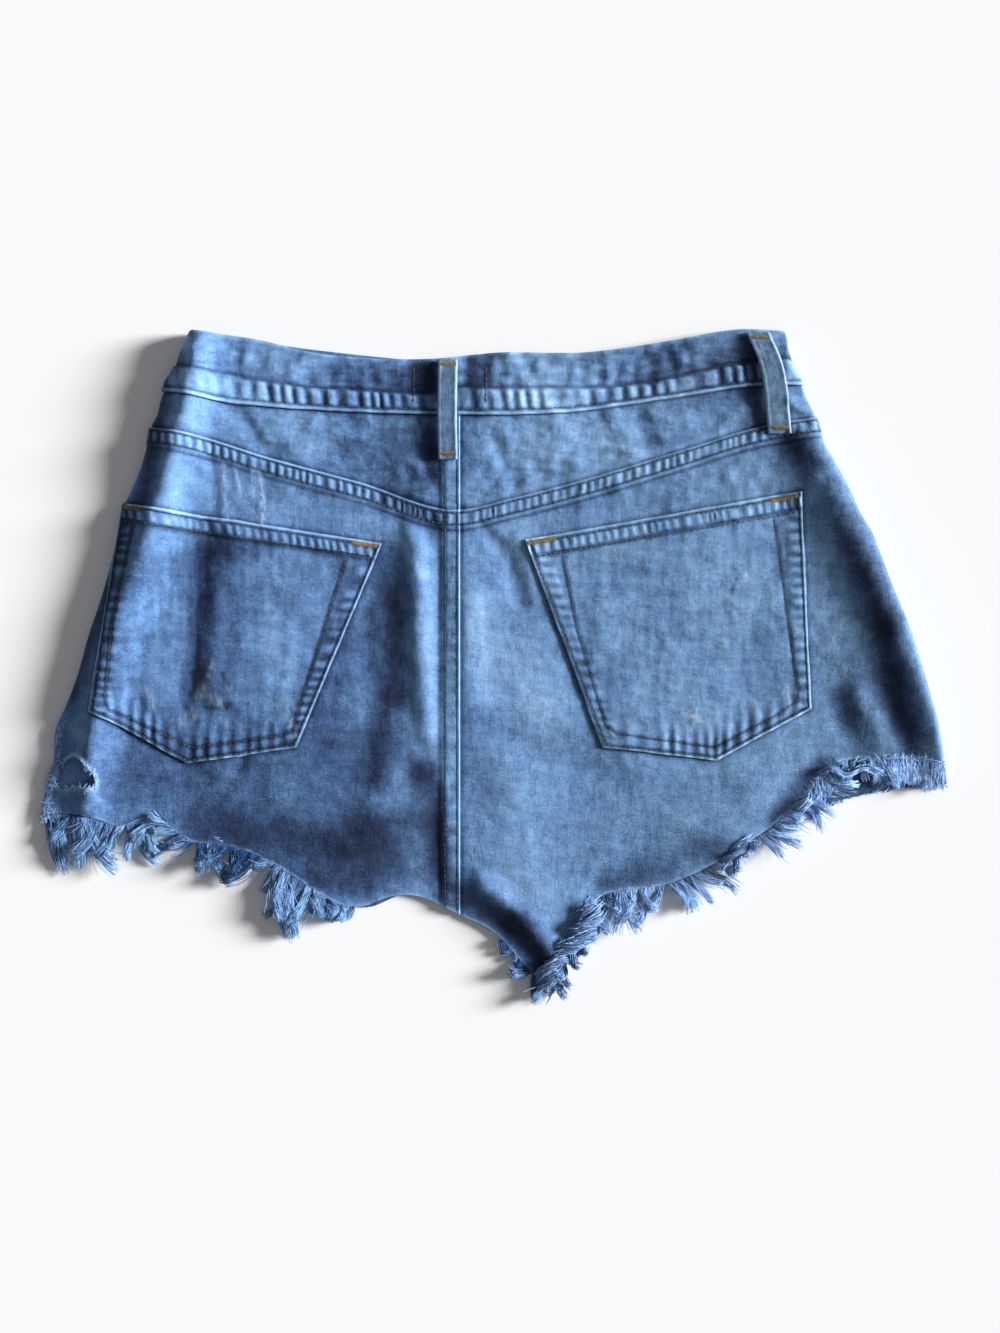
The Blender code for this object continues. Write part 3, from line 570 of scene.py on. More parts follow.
# paler where amounts are positive, darker where they are negative, along each line: partly real fading and deeper
# indigo, partly painted shade on folds and flanks turned from the light, painted shadows beside the belt loops and
# painted highlights on lit slopes
fadesAndShading = table("x1 y1 x2 y2 width amount", [
    (-160, 4, -105, -3, 8, 0.1), (-156, -20, -156, -44, 12, 0.08), (-170, -74, -172, -96, 10, 0.1),
    (-116, -46, -76, -54, 16, 0.11), (-112, -7, -84, -11, 8, 0.08), (-130, -84, -100, -98, 12, 0.08),
    (-188, -135, -207, -205, 9, -0.1), (-112, -135, -108, -190, 12, 0.05), (-30, -118, -18, -136, 4, 0.2),
    (-14, -140, -12, -178, 5.0, 0.09), (-12, -178, -9, -236, 4.5, 0.1), (17, -155, 20, -212, 9, 0.18),
    (48, -185, 62, -222, 17, 0.12), (36, -55, 66, -68, 18, 0.1), (90, -50, 106, -62, 10, 0.14),
    (50, -14, 72, -24, 18, 0.17), (44, -285, 52, -335, 18, 0.12), (75, -30, 108, -28, 6, -0.16),
    (45, -105, 48, -140, 6, 0.08), (60, -118, 62, -150, 6, 0.06), (-84, -30, -26, -34, 6, -0.16),
    (-30, -245, -16, -262, 6, -0.16), (-36, -150, -32, -215, 6, -0.12), (182, -120, 186, -160, 9, 0.09),
    (-34, -122, -34, -214, 7, -0.26), (-40, -214, -46, -262, 9, -0.26), (-152, -124, -156, -208, 8, -0.24),
    (-62, -140, -66, -235, 16, -0.1), (-150, -122, -118, -121, 8, -0.16), (-130, -135, -130, -235, 50, -0.06),
    (-210, -262, -70, -258, 26, -0.15), (-250, -287, -224, -288, 1.8, -0.28), (-226, -262, -218, -276, 3, 0.12),
    (-200, -230, -186, -246, 14, -0.08), (-84, -222, -62, -262, 20, -0.08), (-150, -296, -46, -312, 18, -0.36),
    (-84, -328, -52, -332, 8, -0.2), (-60, -290, -34, -306, 16, -0.14), (-128, -318, -70, -334, 9, -0.1),
    (-16, -262, -8, -322, 8, -0.36), (44, -354, 60, -382, 9, -0.5), (2, -334, 40, -356, 8, -0.34),
    (240, -96, 270, -170, 9, -0.26), (206, -56, 222, -64, 10, -0.14), (270, -170, 286, -244, 8, -0.28),
    (242, -212, 260, -254, 8, -0.18), (24, -232, 100, -256, 10, -0.06), (-38, -90, -12, -104, 10, -0.28),
    (-56, -58, -22, -64, 20, -0.2), (121, -40, 124, -56, 6, -0.14), (206, -290, 232, -258, 9, -0.34),
    (-45, -135, -46, -200, 7, -0.15), (-66, -160, -62, -200, 12, -0.05), (140, -212, 160, -226, 20, 0.06),
    (264, -206, 276, -232, 9, -0.12), (-110, -150, -104, -190, 14, 0.04), (-130, -272, -110, -286, 16, 0.05),
    (-45, -292, -12, -292, 8, -0.16), (-135, -130, -138, -230, 10, -0.07), (-208, -180, -212, -212, 7, -0.1),
    (238, -176, 254, -200, 9, -0.12), (118, -318, 150, -314, 9, -0.1), (2, -280, 2, -304, 7, -0.08),
    (250, -120, 262, -150, 12, -0.05), (150, -190, 160, -225, 22, 0.06), (276, -200, 290, -248, 9, -0.1),
    (-62, -12, -16, -18, 10, -0.18), (15, -4, 15, -36, 6, -0.34), (-12, -8, -11, -76, 5, -0.34),
    (186, 8, 193, -46, 5, -0.3), (-172, -2, -190, -92, 6, -0.34), (-198, -100, -236, -212, 7, -0.3),
    (212, -56, 234, -82, 8, -0.16), (-180, -262, -200, -284, 18, -0.06), (150, -304, 176, -312, 9, -0.24),
    (96, -330, 136, -322, 8, -0.2), (120, -4, 184, -6, 16, -0.14), (130, -20, 184, -22, 12, -0.12),
])
# bare white threads: where the cloth is rubbed through
worn = table("x1 y1 x2 y2 width amount", [
    (-147, -193, -149, -201, 1.9, 0.8), (-153, -208, -156, -213, 2.8, 0.62),
    (-148, -215, -143, -218, 3.0, 0.66), (-137, -209, -134, -214, 2.2, 0.72),
    (-165, -230, -160, -224, 3.6, 0.64), (-140, -226, -139, -231, 2.2, 0.5), (-188, -208, -185, -221, 1.6, 0.7),
    (-102, -216, -97, -238, 1.8, 0.6), (-141, -69, -139.5, -104, 1.8, 0.85), (-134, -71, -130, -86, 1.0, 0.55),
    (-117.5, -74, -116, -107, 1.7, 0.82), (-123, -71, -122, -90, 1.0, 0.55), (184, -138, 181, -143, 1.8, 0.75),
    (173, -150, 169, -151, 2.0, 0.6), (177, -161, 179, -165, 1.5, 0.6), (146, -224, 158, -229, 2.4, 0.9),
    (154, -218, 150, -234, 1.2, 0.8), (108, -214, 110, -230, 1.3, 0.6), (122, -222, 124, -234, 0.9, 0.5),
    (206, -208, 212, -218, 2.8, 0.5), (174, -228, 180, -238, 1.4, 0.5), (190, -216, 192, -226, 1.0, 0.5),
    (-236, -232, -226, -240, 3.0, 0.35), (-252, -262, -240, -274, 4, 0.3),
])
# painted shadow beside the tears
tearShadows = table("x1 y1 x2 y2 width amount", [
    (-155, -198, -158, -213, 3.4, 0.34), (-152, -220, -138, -219, 2.2, 0.22),
    (-163, -222, -158, -230, 2.4, 0.2), (-141, -200, -138, -206, 2.0, 0.14),
    (-191, -214, -189, -222, 2.0, 0.18), (180, -139, 175, -148, 1.8, 0.12), (170, -157, 174, -163, 1.6, 0.10),
    (148, -222, 152, -236, 2.0, 0.16),
])


# the base tone with blotches plus the listed lines: real fading, painted shade and painted highlights
def clothFadeAndShade(x, y):
    blotches = 0.05 * softNoise(x / 17, y / 30, 11)
    return shades["back"] + fromLines(fadesAndShading, x, y, "amount") + blotches + 0.03 * softNoise(x / 5, y / 15, 12)


def seamRope(distance, along, width, seed, depth=0.5, period=5.4, ticks=0.20):
    # a felled seam seen from its folded edge: a raised flat strip between two grooves where it is stitched. Its
    # folded edge is paler from wear; its grooves and the cloth just past both its edges are darkened as painted shade
    strip = ease(distance / 0.9) * (1.0 - ease((distance - width + 1.6) / 2.2))
    between = ease((distance - 1.6) / 2.0) * (1.0 - ease((distance - width + 3.6) / 2.0))
    grooves = bell(distance - 2.0, 0.7) + bell(distance - width + 2.0, 0.7)
    wave = np.tanh(1.7 * pucker(along, period, seed))
    lift = 0.95 * strip + depth * wave * between - 0.3 * grooves
    fade = 0.20 * bell(distance - 0.5, 0.9) + ticks * wave * between
    fade = fade + 0.08 * bell(distance - width, 1.0) + 0.03 * between
    # painted shade in the grooves and painted shadow just past both edges of the seam
    fade = fade - 0.26 * bell(distance - width - 1.2, 1.2) - 0.30 * bell(distance + 1.1, 1.0) - 0.30 * grooves
    return lift, fade


yokeEdgeLine = edgeLine(yokeEdge, yokeEdgeFront)
legLine = edgeLine(legBack, legFront)
bandSeamLine = edgeLine(bandSeamBack, bandSeamFront)
waistLine = edgeLine(waistBack, waistFront)
bandRidgeLine = smoothLine(bandRidge, "x", "y")
fell = {"yoke": 11.5, "centre": 11.5}


def centreRope(w, y):  # the felled seam up the centre back, on the left side
    return seamRope(form["lap"] - w, y, fell["centre"], 31, 0.14, 9.5, 0.05)


def sunkByLap(w):  # the right side dips to meet the seam that laps over it
    return 0.55 * (1.0 - ease((w - form["lap"]) / 2.4))


pocketShapes = {
    # corners: top left, top right, lower right, bottom point, lower left. Then the second rows of stitches.
    "left": {
        "corners": [(-203.5, -93), (-42, -118), (-95.6, -245), (-163.7, -255), (-222.5, -222.5)],
        "hem": [(-204.5, -106), (-46, -127.5)],
        "rows": [[
            (-195, -108.5), (-207.5, -167), (-213.5, -213), (-212, -221), (-160, -245.5), (-104, -237.5),
            (-98.5, -235), (-65.6, -129.5),
        ]],
        "seed": 71,
    },
    "right": {
        "corners": [(47, -116), (219, -85.5), (225, -221), (166, -253), (95, -245)],
        "hem": [(51, -128), (219, -100.5)],
        "rows": [[
            (70, -127), (79.4, -172), (97, -231), (104, -236.5), (165, -245), (203, -225), (216, -216),
            (217, -210), (215, -200), (202, -103),
        ]],
        "seed": 81,
    },
}


def toLine(x, y, start, end):  # how far a place lies to the left of a line, walking from its start to its end
    runX, runY = end[0] - start[0], end[1] - start[1]
    return (runX * (y - start[1]) - runY * (x - start[0])) / math.hypot(runX, runY)


def toPath(x, y, points):  # the distance to the nearest part of a path
    nearest = np.full(np.broadcast(x, y).shape, 1e9)
    for start, end in zip(points[:-1], points[1:]):
        runX, runY = end[0] - start[0], end[1] - start[1]
        share = np.clip(((x - start[0]) * runX + (y - start[1]) * runY) / (runX**2 + runY**2), 0, 1)
        nearest = np.minimum(nearest, np.hypot(x - start[0] - share * runX, y - start[1] - share * runY))
    return nearest


hole = {
    "middle": (-232.0, -262.0), "underRise": 4.6, "underWidth": 13.0,
    "rim": table("angle radius", [
        (0, 12), (25, 9.6), (52, 9.5), (90, 11.6), (118, 10.6), (145, 11.3), (168, 13), (188, 14), (221, 13.4),
        (245, 9), (270, 7.6), (300, 8.8), (330, 13.4), (343, 13), (360, 12),
    ]),
}


def toHole(x, y):  # how far outside the rim of the worn hole, and how far from its middle
    away = np.hypot(x - hole["middle"][0], y - hole["middle"][1])
    angle = np.degrees(np.arctan2(y - hole["middle"][1], x - hole["middle"][0])) % 360
    return away - smoothLine(hole["rim"], "angle", "radius")(angle), away


def panelDetail(side):
    def at(w, y):
        x, _, isBack = ringPlace(w, y)
        fromYoke = yokeEdgeLine(w, y) - y
        lift, fade = seamRope(fromYoke, w, fell["yoke"], 21)
        fade = fade + clothFadeAndShade(x, y)
        if side == "left":
            more, paler = centreRope(w, y)
            lift = np.maximum(lift, more) + 0.15 * np.minimum(lift, more)
            fade = fade + paler * isBack
        else:
            lift = lift - sunkByLap(w)
        rubbed = 0.5 * np.clip(fade - clothFadeAndShade(x, y), 0, 1)
        fromHem = y - legLine(w, y)
        ragged = 0.5 + 0.5 * softNoise(w / 2.3, y / 6, 33)
        fade = fade + 0.12 * bell(fromHem, 1.6) * ragged
        wear = fromLines(worn, x, y, "amount") * isBack * (0.55 + 0.45 * softNoise(w / 1.1, y / 3.5, 34))
        wear = np.clip(wear, 0, 1) + 0.5 * bell(fromHem, 0.9) * ragged
        lift = lift + 0.12 * softNoise(w / 3.1, y / 9, 35) + 0.25 * np.clip(wear, 0, 1)
        outside, away = toHole(x, y)
        lift = lift - hole["underRise"] * bell(away, hole["underWidth"]) * ~isBack
        rim = bell(outside, 1.7) * isBack
        fade, lift = fade + 0.22 * rim, lift + 0.7 * rim
        wear = wear + 0.7 * rim * (0.6 + 0.4 * softNoise(w / 1.6, y / 1.6, 36))
        # painted shadow on the panel round each pocket's edge
        for shape in pocketShapes.values():
            outline = shape["corners"] + shape["corners"][:1]
            fade = fade - 0.22 * bell(toPath(x, y, outline), 1.8) * isBack
        return {"lift": lift, "fade": np.where(isBack, fade, shades["front"]), "wear": (wear + rubbed) * isBack}

    return at


def yokeDetail(side):
    def at(w, y):
        x, _, isBack = ringPlace(w, y)
        nearPanel = y - yokeEdgeLine(w, y)
        lift = -0.55 * (1.0 - ease((nearPanel - 0.2) / 2.4)) + 0.15 * softNoise(w / 4, y / 4, 41)
        # painted shadow of the lapping panel's edge, and painted shade in the groove under the waistband seam
        fade = clothFadeAndShade(x, y) - 0.16 * bell(nearPanel - 0.6, 1.1)
        nearBand = bandSeamLine(w, y) - y
        fade = fade - 0.15 * bell(nearBand, 1.5)
        lift = lift - 0.25 * bell(nearBand, 1.6) + 0.10 * pucker(w, 9.0, 51) * bell(nearBand, 6.0)
        if side == "left":
            more, paler = centreRope(w, y)
            lift = np.maximum(lift, more) * (more > 0.05) + lift * (more <= 0.05)
            fade = fade + paler
        else:
            lift = lift - sunkByLap(w)
        return {"lift": lift, "fade": np.where(isBack, fade, shades["front"]), "wear": 0.0 * w}

    return at


def bandDetail(w, y):
    # plain above its ridge, drawn up into puckers below it, with a corded lower edge
    x, _, isBack = ringPlace(w, y)
    fromEdge = y - bandSeamLine(w, y)
    ridge = np.where(isBack, bandRidgeLine(x), bandSeamLine(w, y) + 14.0) + 0.7 * softNoise(w / 9, 0.5, 56)
    aboveRidge = y - ridge
    lower = ease((-aboveRidge) / 1.4) * ease((fromEdge - 2.4) / 1.6)
    wave = np.tanh(2.2 * pucker(w + 0.12 * aboveRidge, 9.2, 51) + 0.5)
    calm = 0.35 + 0.65 * (1.0 - bell(x + 150, 24))
    lift = 0.7 * ease((-aboveRidge) / 1.2) + 0.6 * wave * lower * calm + 0.45 * bell(fromEdge - 1.5, 1.3)
    lift = lift - 0.5 * bell(aboveRidge - 0.6, 0.9) - 0.45 * bell(fromEdge - 3.1, 0.6)
    top = waistLine(w, y) - y
    plain = ease(aboveRidge / 3)
    crumple = 0.35 * softNoise(w / 9, y / 12, 52) + 0.28 * softNoise(w / 4.5, y / 8, 53)
    lift = lift - 0.7 * bell(top, 1.2) + plain * crumple
    lift = lift + 0.5 * pucker(w, 13.0, 54) * plain * (1.0 - ease((aboveRidge - 10) / 10))
    tacks = bell(np.abs(x) - 22.5, 4.0) * plain
    lift = lift - 0.9 * tacks
    # painted shade in the groove above the puckered band and in the stitch groove over the corded edge
    fade = clothFadeAndShade(x, y) + 0.24 * wave * lower * calm - 0.30 * bell(aboveRidge - 0.9, 1.3) + 0.06 * lower
    fade = fade + 0.32 * bell(fromEdge - 1.0, 0.8) - 0.26 * bell(fromEdge - 3.0, 0.7) + 0.16 * bell(top, 1.4)
    fade = fade + 0.06 * softNoise(w / 6, y / 18, 55) + plain * 0.09 * softNoise(w / 7, y / 2.2, 57)
    # painted shade in the dents at the tacks
    fade = fade - 0.25 * tacks - 0.04 * plain
    return {"lift": form["bandProud"] + lift, "fade": np.where(isBack, fade, shades["bandFront"]),
            "wear": 0.2 * bell(fromEdge - 0.9, 0.6) * isBack}


underBand = edgeLine(bandSeamBack, bandSeamFront, 0.3)
edgeRows = (0.0, 0.4, 0.9, 1.6, 2.4, 3.4)
pieces = {}
print("details ready")

# waistband
waistbandSize = {"rows": 20, "outerEnd": 15.0, "innerEnd": 18.0, "tuckFrom": -29.0, "tuckRun": 12.0}
spans = [
    (centreFrontLine("left", waistbandSize["outerEnd"]), foldLine("left", -form["runLeft"]), 60),
    (foldLine("left", -form["runLeft"]), foldLine("left", form["runLeft"]), 14),
    (foldLine("left", form["runLeft"]), foldLine("right", form["runRight"]), 300),
    (foldLine("right", form["runRight"]), foldLine("right", -form["runRight"]), 12),
    (foldLine("right", -form["runRight"]), centreFrontLine("right", waistbandSize["tuckFrom"]), 44),
    (centreFrontLine("right", waistbandSize["tuckFrom"]), centreFrontLine("right", waistbandSize["innerEnd"]), 24),
]
w, y = makeGrid(spans, waistLine, bandSeamLine, rowPlan(waistbandSize["rows"], edgeRows[:4], edgeRows))
detail = bandDetail(w, y)
tuck = ease((w - centreFrontLine("right", waistbandSize["tuckFrom"])(y)) / waistbandSize["tuckRun"])
onFront = ~ringPlace(w, y)[2]
detail["lift"] = np.where(onFront, form["bandProud"], detail["lift"]) - (form["bandWall"] + 0.3) * tuck
pieces["waistband"] = clothWall("waistbandCloth", w, y, detail, form["bandWall"], bandDenim)
declare(pieces["waistband"], "waistband", w, y)
print("waistband ready")

# yokes and back panels
backPanel = {"columns": {"left": 140, "right": 168}, "rows": 150}
backSpans = {
    "left": [
        (leftSeamLine(1), foldLine("left", -form["runLeft"]), 8),
        (foldLine("left", -form["runLeft"]), foldLine("left", form["runLeft"]), 14),
        (foldLine("left", form["runLeft"]), upLine(form["lap"] - 13.0), backPanel["columns"]["left"]),
        (upLine(form["lap"] - 13.0), upLine(form["lap"] - 3.0), 8),
        (upLine(form["lap"] - 3.0), upLine(form["lap"] - 0.15), 5),
    ],
    "right": [
        (upLine(form["lap"] - 1.2), upLine(form["lap"] + 1.6), 5),
        (upLine(form["lap"] + 1.6), foldLine("right", form["runRight"]), backPanel["columns"]["right"]),
        (foldLine("right", form["runRight"]), foldLine("right", -form["runRight"]), 12),
        (foldLine("right", -form["runRight"]), rightSeamLine(-1), 1),
    ],
}


def openHole(w, y):
    # cells inside the worn hole go, and the corners around it slide onto its rim
    x, _, isBack = ringPlace(w, y)
    outside, away = toHole(x, y)
    outside = np.where(isBack, outside, 99.0)
    gone = (outside[:-1, :-1] + outside[1:, :-1] + outside[1:, 1:] + outside[:-1, 1:]) / 4 < 0
    padded = np.pad(gone.astype(int), 1)
    touching = padded[:-1, :-1] + padded[1:, :-1] + padded[1:, 1:] + padded[:-1, 1:]
    move = np.where((touching > 0) & (touching < 4), -outside / np.maximum(away, 0.1), 0.0)
    return w + move * (x - hole["middle"][0]), y + move * (y - hole["middle"][1]), gone


for side in ("left", "right"):
    underYoke = edgeLine(yokeEdge, yokeEdgeFront, 1.2)
    w, y = makeGrid(backSpans[side], underBand, underYoke, rowPlan(34, edgeRows[:5], edgeRows[:5]))
    piece = clothWall("yoke" + side.capitalize(), w, y, yokeDetail(side)(w, y), form["clothWall"], bandDenim)
    declare(piece, "yoke_" + side, w, y)
    rows = rowPlan(backPanel["rows"], (*edgeRows, 4.8, 6.2, 7.8, 9.4, 10.6, 11.6, 13.0), edgeRows[:4])
    w, y = makeGrid(backSpans[side], edgeLine(yokeEdge, yokeEdgeFront), legLine, rows)
    gone = None
    if side == "left":
        w, y, gone = openHole(w, y)
    # the left panel's inner face is paler than the right's: painted light in the shaded inside of the worn hole
    innerToneWithPaintedLight = 0.60 if side == "left" else 0.3
    detail = panelDetail(side)(w, y)
    pieces["back" + side] = clothWall("backPanel" + side.capitalize(), w, y, detail, form["clothWall"],
                                      panelDenim, innerToneWithPaintedLight, gone)
    pieces["backGrid" + side] = (w, y)
print("back ready")

# front panels and fly
frontSpans = {
    "left": [(centreFrontLine("left", -0.15), leftSeamLine(-1), 44)],
    "right": [(rightSeamLine(1), centreFrontLine("right", -0.15), 60)],
}
for side in ("left", "right"):
    w, y = makeGrid(frontSpans[side], underBand, legLine, rowPlan(74, edgeRows[:3], edgeRows[:4]))
    fromHem = y - legLine(w, y)
    fade = shades["front"] + 0.06 * softNoise(w / 14, y / 30, 61) + 0.1 * bell(fromHem, 1.6)
    detail = {"lift": 0.0 * w, "fade": fade, "wear": 0.5 * bell(fromHem, 0.9)}
    # the front panels' inner faces are darker than denim's pale wrong side: painted shade where they show under the
    # back layer
    pieces["front" + side] = clothWall("frontPanel" + side.capitalize(), w, y, detail, form["clothWall"],
                                       panelDenim, 0.26)
    pieces["frontGrid" + side] = (w, y)
flyEnds = centreFrontLine("right", -8.0), centreFrontLine("right", 30.0)
flyTop, flyBottom = edgeLine(bandSeamBack, bandSeamFront, 2.4), lambda w, y: np.full_like(y, -172.0)
w, y = makeGrid([(*flyEnds, 16)], flyTop, flyBottom, rowPlan(50))
detail = {"lift": 0.0 * w - form["clothWall"] - 0.3, "fade": 0.0 * w + shades["fly"], "wear": 0.0 * w}
pieces["fly"] = clothWall("flyShield", w, y, detail, form["clothWall"], panelDenim)
declare(pieces["fly"], "fly_shield", w, y)
print("front ready")

# pockets
def pocketDetail(shape):
    topLeft, topRight, lowRight, point, lowLeft = shape["corners"]

    def at(w, y):
        x, _, _ = ringPlace(w, y)
        fromTop = -toLine(w, y, topLeft, topRight)
        fromRight = -toLine(w, y, topRight, lowRight)
        fromLeft = toLine(w, y, topLeft, lowLeft)
        fromLow = np.minimum(-toLine(w, y, lowRight, point), -toLine(w, y, point, lowLeft))
        fromSide = np.minimum(np.minimum(fromRight, fromLeft), fromLow)
        fromAny = np.minimum(fromSide, fromTop)
        hem = ease((fromTop - 0.4) / 1.0) * (1.0 - ease((fromTop - 11.0) / 1.8))
        along = w + 0.16 * y
        hemWave = np.tanh(1.7 * pucker(along, 5.6, shape["seed"]))
        hemWave = hemWave * ease((fromTop - 2.6) / 1.6) * (1.0 - ease((fromTop - 8.4) / 1.8))
        second = toPath(w, y, shape["rows"][0])
        outside = ease((12.0 - fromSide) / 4.0) * (1 - hem)
        sides = np.minimum(fromRight, fromLeft)
        sideWave = np.tanh(1.8 * pucker(y, 7.0, shape["seed"] + 3)) * bell(sides - 6.0, 4.5) * (1 - hem)
        lowWave = np.tanh(1.6 * pucker(w, 8.2, shape["seed"] + 5)) * bell(fromLow - 7.0, 9.0)
        lowWave = lowWave * (1.0 - bell(sides, 9.0))
        lift = 0.85 * hem + 0.45 * outside + 0.42 * hemWave + 0.45 * sideWave + 0.62 * lowWave
        lift = lift - 0.55 * bell(fromAny, 0.7) - 0.40 * bell(second, 0.9) - 0.35 * bell(fromSide - 2.0, 0.6)
        lift = lift - 0.35 * bell(fromTop - 2.4, 0.6) - 0.35 * bell(fromTop - 10.4, 0.7)
        lift = lift + 0.22 * softNoise(w / 5, y / 9, 77)
        fade = clothFadeAndShade(x, y) + 0.26 * bell(fromAny - 0.3, 0.9) + 0.19 * hemWave + 0.17 * sideWave + 0.16 * lowWave
        # painted shade in the stitch grooves and just under the hem's lower edge, here and in the next two lines
        fade = fade - 0.30 * bell(second, 1.1) - 0.30 * bell(fromSide - 2.2, 0.9)
        fade = fade - 0.16 * bell(fromTop - 11.8, 1.2) - 0.02
        fade = fade - 0.26 * bell(fromTop - 2.5, 0.8) - 0.28 * bell(fromTop - 10.4, 0.9)
        fade = fade + 0.07 * bell(fromTop - 6.5, 3.0) + 0.06 * softNoise(w / 3.0, y / 26, 78)
        wear = np.clip(0.7 * fromLines(worn, x, y, "amount") * (0.5 + 0.6 * softNoise(w / 1.2, y / 2.6, 79)), 0, 1)
        # painted shadow beside the tears
        dark = fromLines(tearShadows, w, y, "amount") * (1.0 + 0.8 * softNoise(w / 2.2, y / 3.5, 75))
        wear = wear + 0.45 * bell(fromAny, 0.7) * (0.5 + 0.5 * softNoise(w / 4, y / 4, 76))
        return {"lift": 0.5 + form["clothWall"] + lift + 0.3 * wear, "fade": fade - dark, "wear": wear}

    return at


def pocketGrid(shape, across, down):
    # straight lines between the top edge and the pointed bottom edge, close together by the edges
    topLeft, topRight, lowRight, point, lowLeft = (np.array(corner, float) for corner in shape["corners"])
    fine, width, height = np.array([0.0, 0.5, 1.0, 1.7, 2.5, 3.5]), 165, 135

    def places(size, steps):
        return np.concatenate([fine / size, np.linspace(4.6 / size, 1 - 4.6 / size, steps), 1 - fine[::-1] / size])

    u, v = places(width, across)[:, None], places(height, down)[:, None, None]
    top = topLeft + (topRight - topLeft) * u
    low = np.where(u < 0.5, lowLeft + (point - lowLeft) * u * 2, point + (lowRight - point) * (u * 2 - 1))
    grid = top + (low - top) * v
    w, y = grid[..., 0], grid[..., 1]
    wobble = 0.35 * softNoise(w / 14, y / 14, shape["seed"])
    return w + wobble, y + 0.35 * softNoise(w / 12, y / 12, shape["seed"] + 1)


for side, shape in pocketShapes.items():
    w, y = pocketGrid(shape, 120, 96)
    shape["detail"] = pocketDetail(shape)
    piece = clothWall("pocket" + side.capitalize(), w, y, shape["detail"](w, y), form["clothWall"], pocketDenim)
    declare(piece, "pocket_" + side, w, y)
print("pockets ready")

# belt loops
loopSize = {"width": 12.0, "wall": 1.4, "sideExtra": 1.2}
loops = {
    "belt_loop_centre_back": ("back", [(-1, -4.5), (-1.4, -35), (-1, -66)], 3.2),
    "belt_loop_side_right": ("back", [(191.5, 12.5), (200.5, -12), (205, -50)], 2.4),
    "belt_loop_side_left": ("left", [(-126, 6), (-130, -24), (-134, -54)], 0.0),
    "belt_loop_front_left": ("left", [(-46, -4), (-47, -34), (-48, -64)], 0.0),
    "belt_loop_front_right": ("right", [(139, 0), (141, -30), (143, -60)], 0.0),
}


def loopPlace(where, x, y):  # a loop's x as a place round the tube
    if where == "left":
        return 2 * leftFold(y) - form["runLeft"] - x
    if where == "right":
        return 2 * rightFold(y) + form["runRight"] - x
    return x


def loopSurface(where, route, arch, share, across):
    # the places and lift of a strip that arches off the waistband
    stops = {"s": np.linspace(0, 1, len(route)), **table("x y", route)}
    middleX, middleY = smoothLine(stops, "s", "x")(share), smoothLine(stops, "s", "y")(share)
    y = middleY + 0.0 * across
    x = middleX + across
    ends = np.sin(math.pi * share)
    lift = form["bandProud"] + 0.9 + loopSize["wall"] + arch * np.clip(ends, 0, 1) ** 0.7
    if where != "back":
        lift = form["bandProud"] + 0.3 + loopSize["wall"] + 0.0 * lift
    return loopPlace(where, x, y), y, lift


def loopPoints(w, y, lift):  # raised straight up from the higher of the cloth and a line between the loop's ends
    x, z, _ = ringPlace(w, y)
    middle = z[:, z.shape[1] // 2]
    straight = middle[0] + (middle[-1] - middle[0]) * np.linspace(0, 1, len(middle))
    height = np.maximum(middle, straight)[:, None]
    height = np.maximum(height, z - 0.6)
    return np.stack([x, y, height + lift], axis=-1), np.array([0.0, 0.0, 1.0])


loopTops = []
for node, (where, route, arch) in loops.items():
    half = loopSize["width"] / 2 + (loopSize["sideExtra"] if node == "belt_loop_side_right" else 0.0)
    rim = np.array([-1, -0.95, -0.88, -0.8, -0.7, -0.55, -0.35, 0.0])
    across = half * np.concatenate([rim, -rim[-2::-1]])[None, :]
    share = np.linspace(0, 1, 70)[:, None]
    w, y, lift = loopSurface(where, route, arch, share, across)
    if where != "back":
        w, y, lift = w[:, ::-1], y[:, ::-1], lift + 0.0 * across
    edge = half - np.abs(across)
    show = 1.0 if where == "back" else 0.0
    profile = 0.30 * bell(edge - 1.3, 0.9) - 0.45 * bell(edge, 0.5) + 0.10 * softNoise(across / 3, share * 20, 91)
    fade = shades["loop"] + 0.26 * bell(edge - 0.7, 0.8) + 0.07 * softNoise(across / 2, share * 24, 92)
    fade = fade - 0.1 * bell(edge - 3.0, 0.8)
    detail = {"lift": lift + show * profile, "fade": fade + 0.0 * w,
              "wear": show * 0.35 * bell(edge - 0.4, 0.5) + 0.0 * w}
    place = loopPoints if where == "back" else tubePoints
    piece = clothWall(camelName(node), w, y, detail, loopSize["wall"], loopDenim, place=place)
    declare(piece, node, w, y)
    if where == "back":
        loopTops.append((-y[:, 7], loopPoints(w, y, detail["lift"])[0][:, 7, 2]))
print("loops ready")

# stitches
stitch = {"pitch": 3.2, "length": 3.0, "radius": 0.44, "sides": 4}


def resample(points, spacing):  # evenly spaced places along a path of corners
    points = np.array(points, float)
    length = np.concatenate([[0], np.cumsum(np.hypot(*np.diff(points, axis=0).T))])
    count = max(int(length[-1] / spacing), 1)
    return (np.arange(count) + 0.5) * length[-1] / count, length, points


def stitchPaths(points, surface, seed):
    # each stitch is a short tube that dips into the cloth at both ends
    middles, length, corners = resample(points, stitch["pitch"])
    along = middles[:, None] + stitch["length"] * np.array([-0.5, -0.3, 0.3, 0.5])
    w, y = (np.interp(along, length, corners[:, axis]) for axis in (0, 1))
    random = np.random.default_rng(seed)
    y = y + random.normal(0, 0.10, (len(middles), 1))
    lift = surface(w, y)["lift"] if callable(surface) else surface
    dip = np.array([-0.30, 0.02, 0.02, -0.30])
    path, _ = tubePoints(w, y, lift + dip)
    tone = np.clip(random.normal(0.5, 0.22, (len(middles), 1)), 0, 1) + np.zeros(4)
    return path, tone


def follow(line, start, end, drop, step=4.0):  # a stitch row this far below an edge
    x = np.arange(start, end, step)
    return np.stack([x, smoothLine(line, "x", "y")(x) - drop], axis=-1)


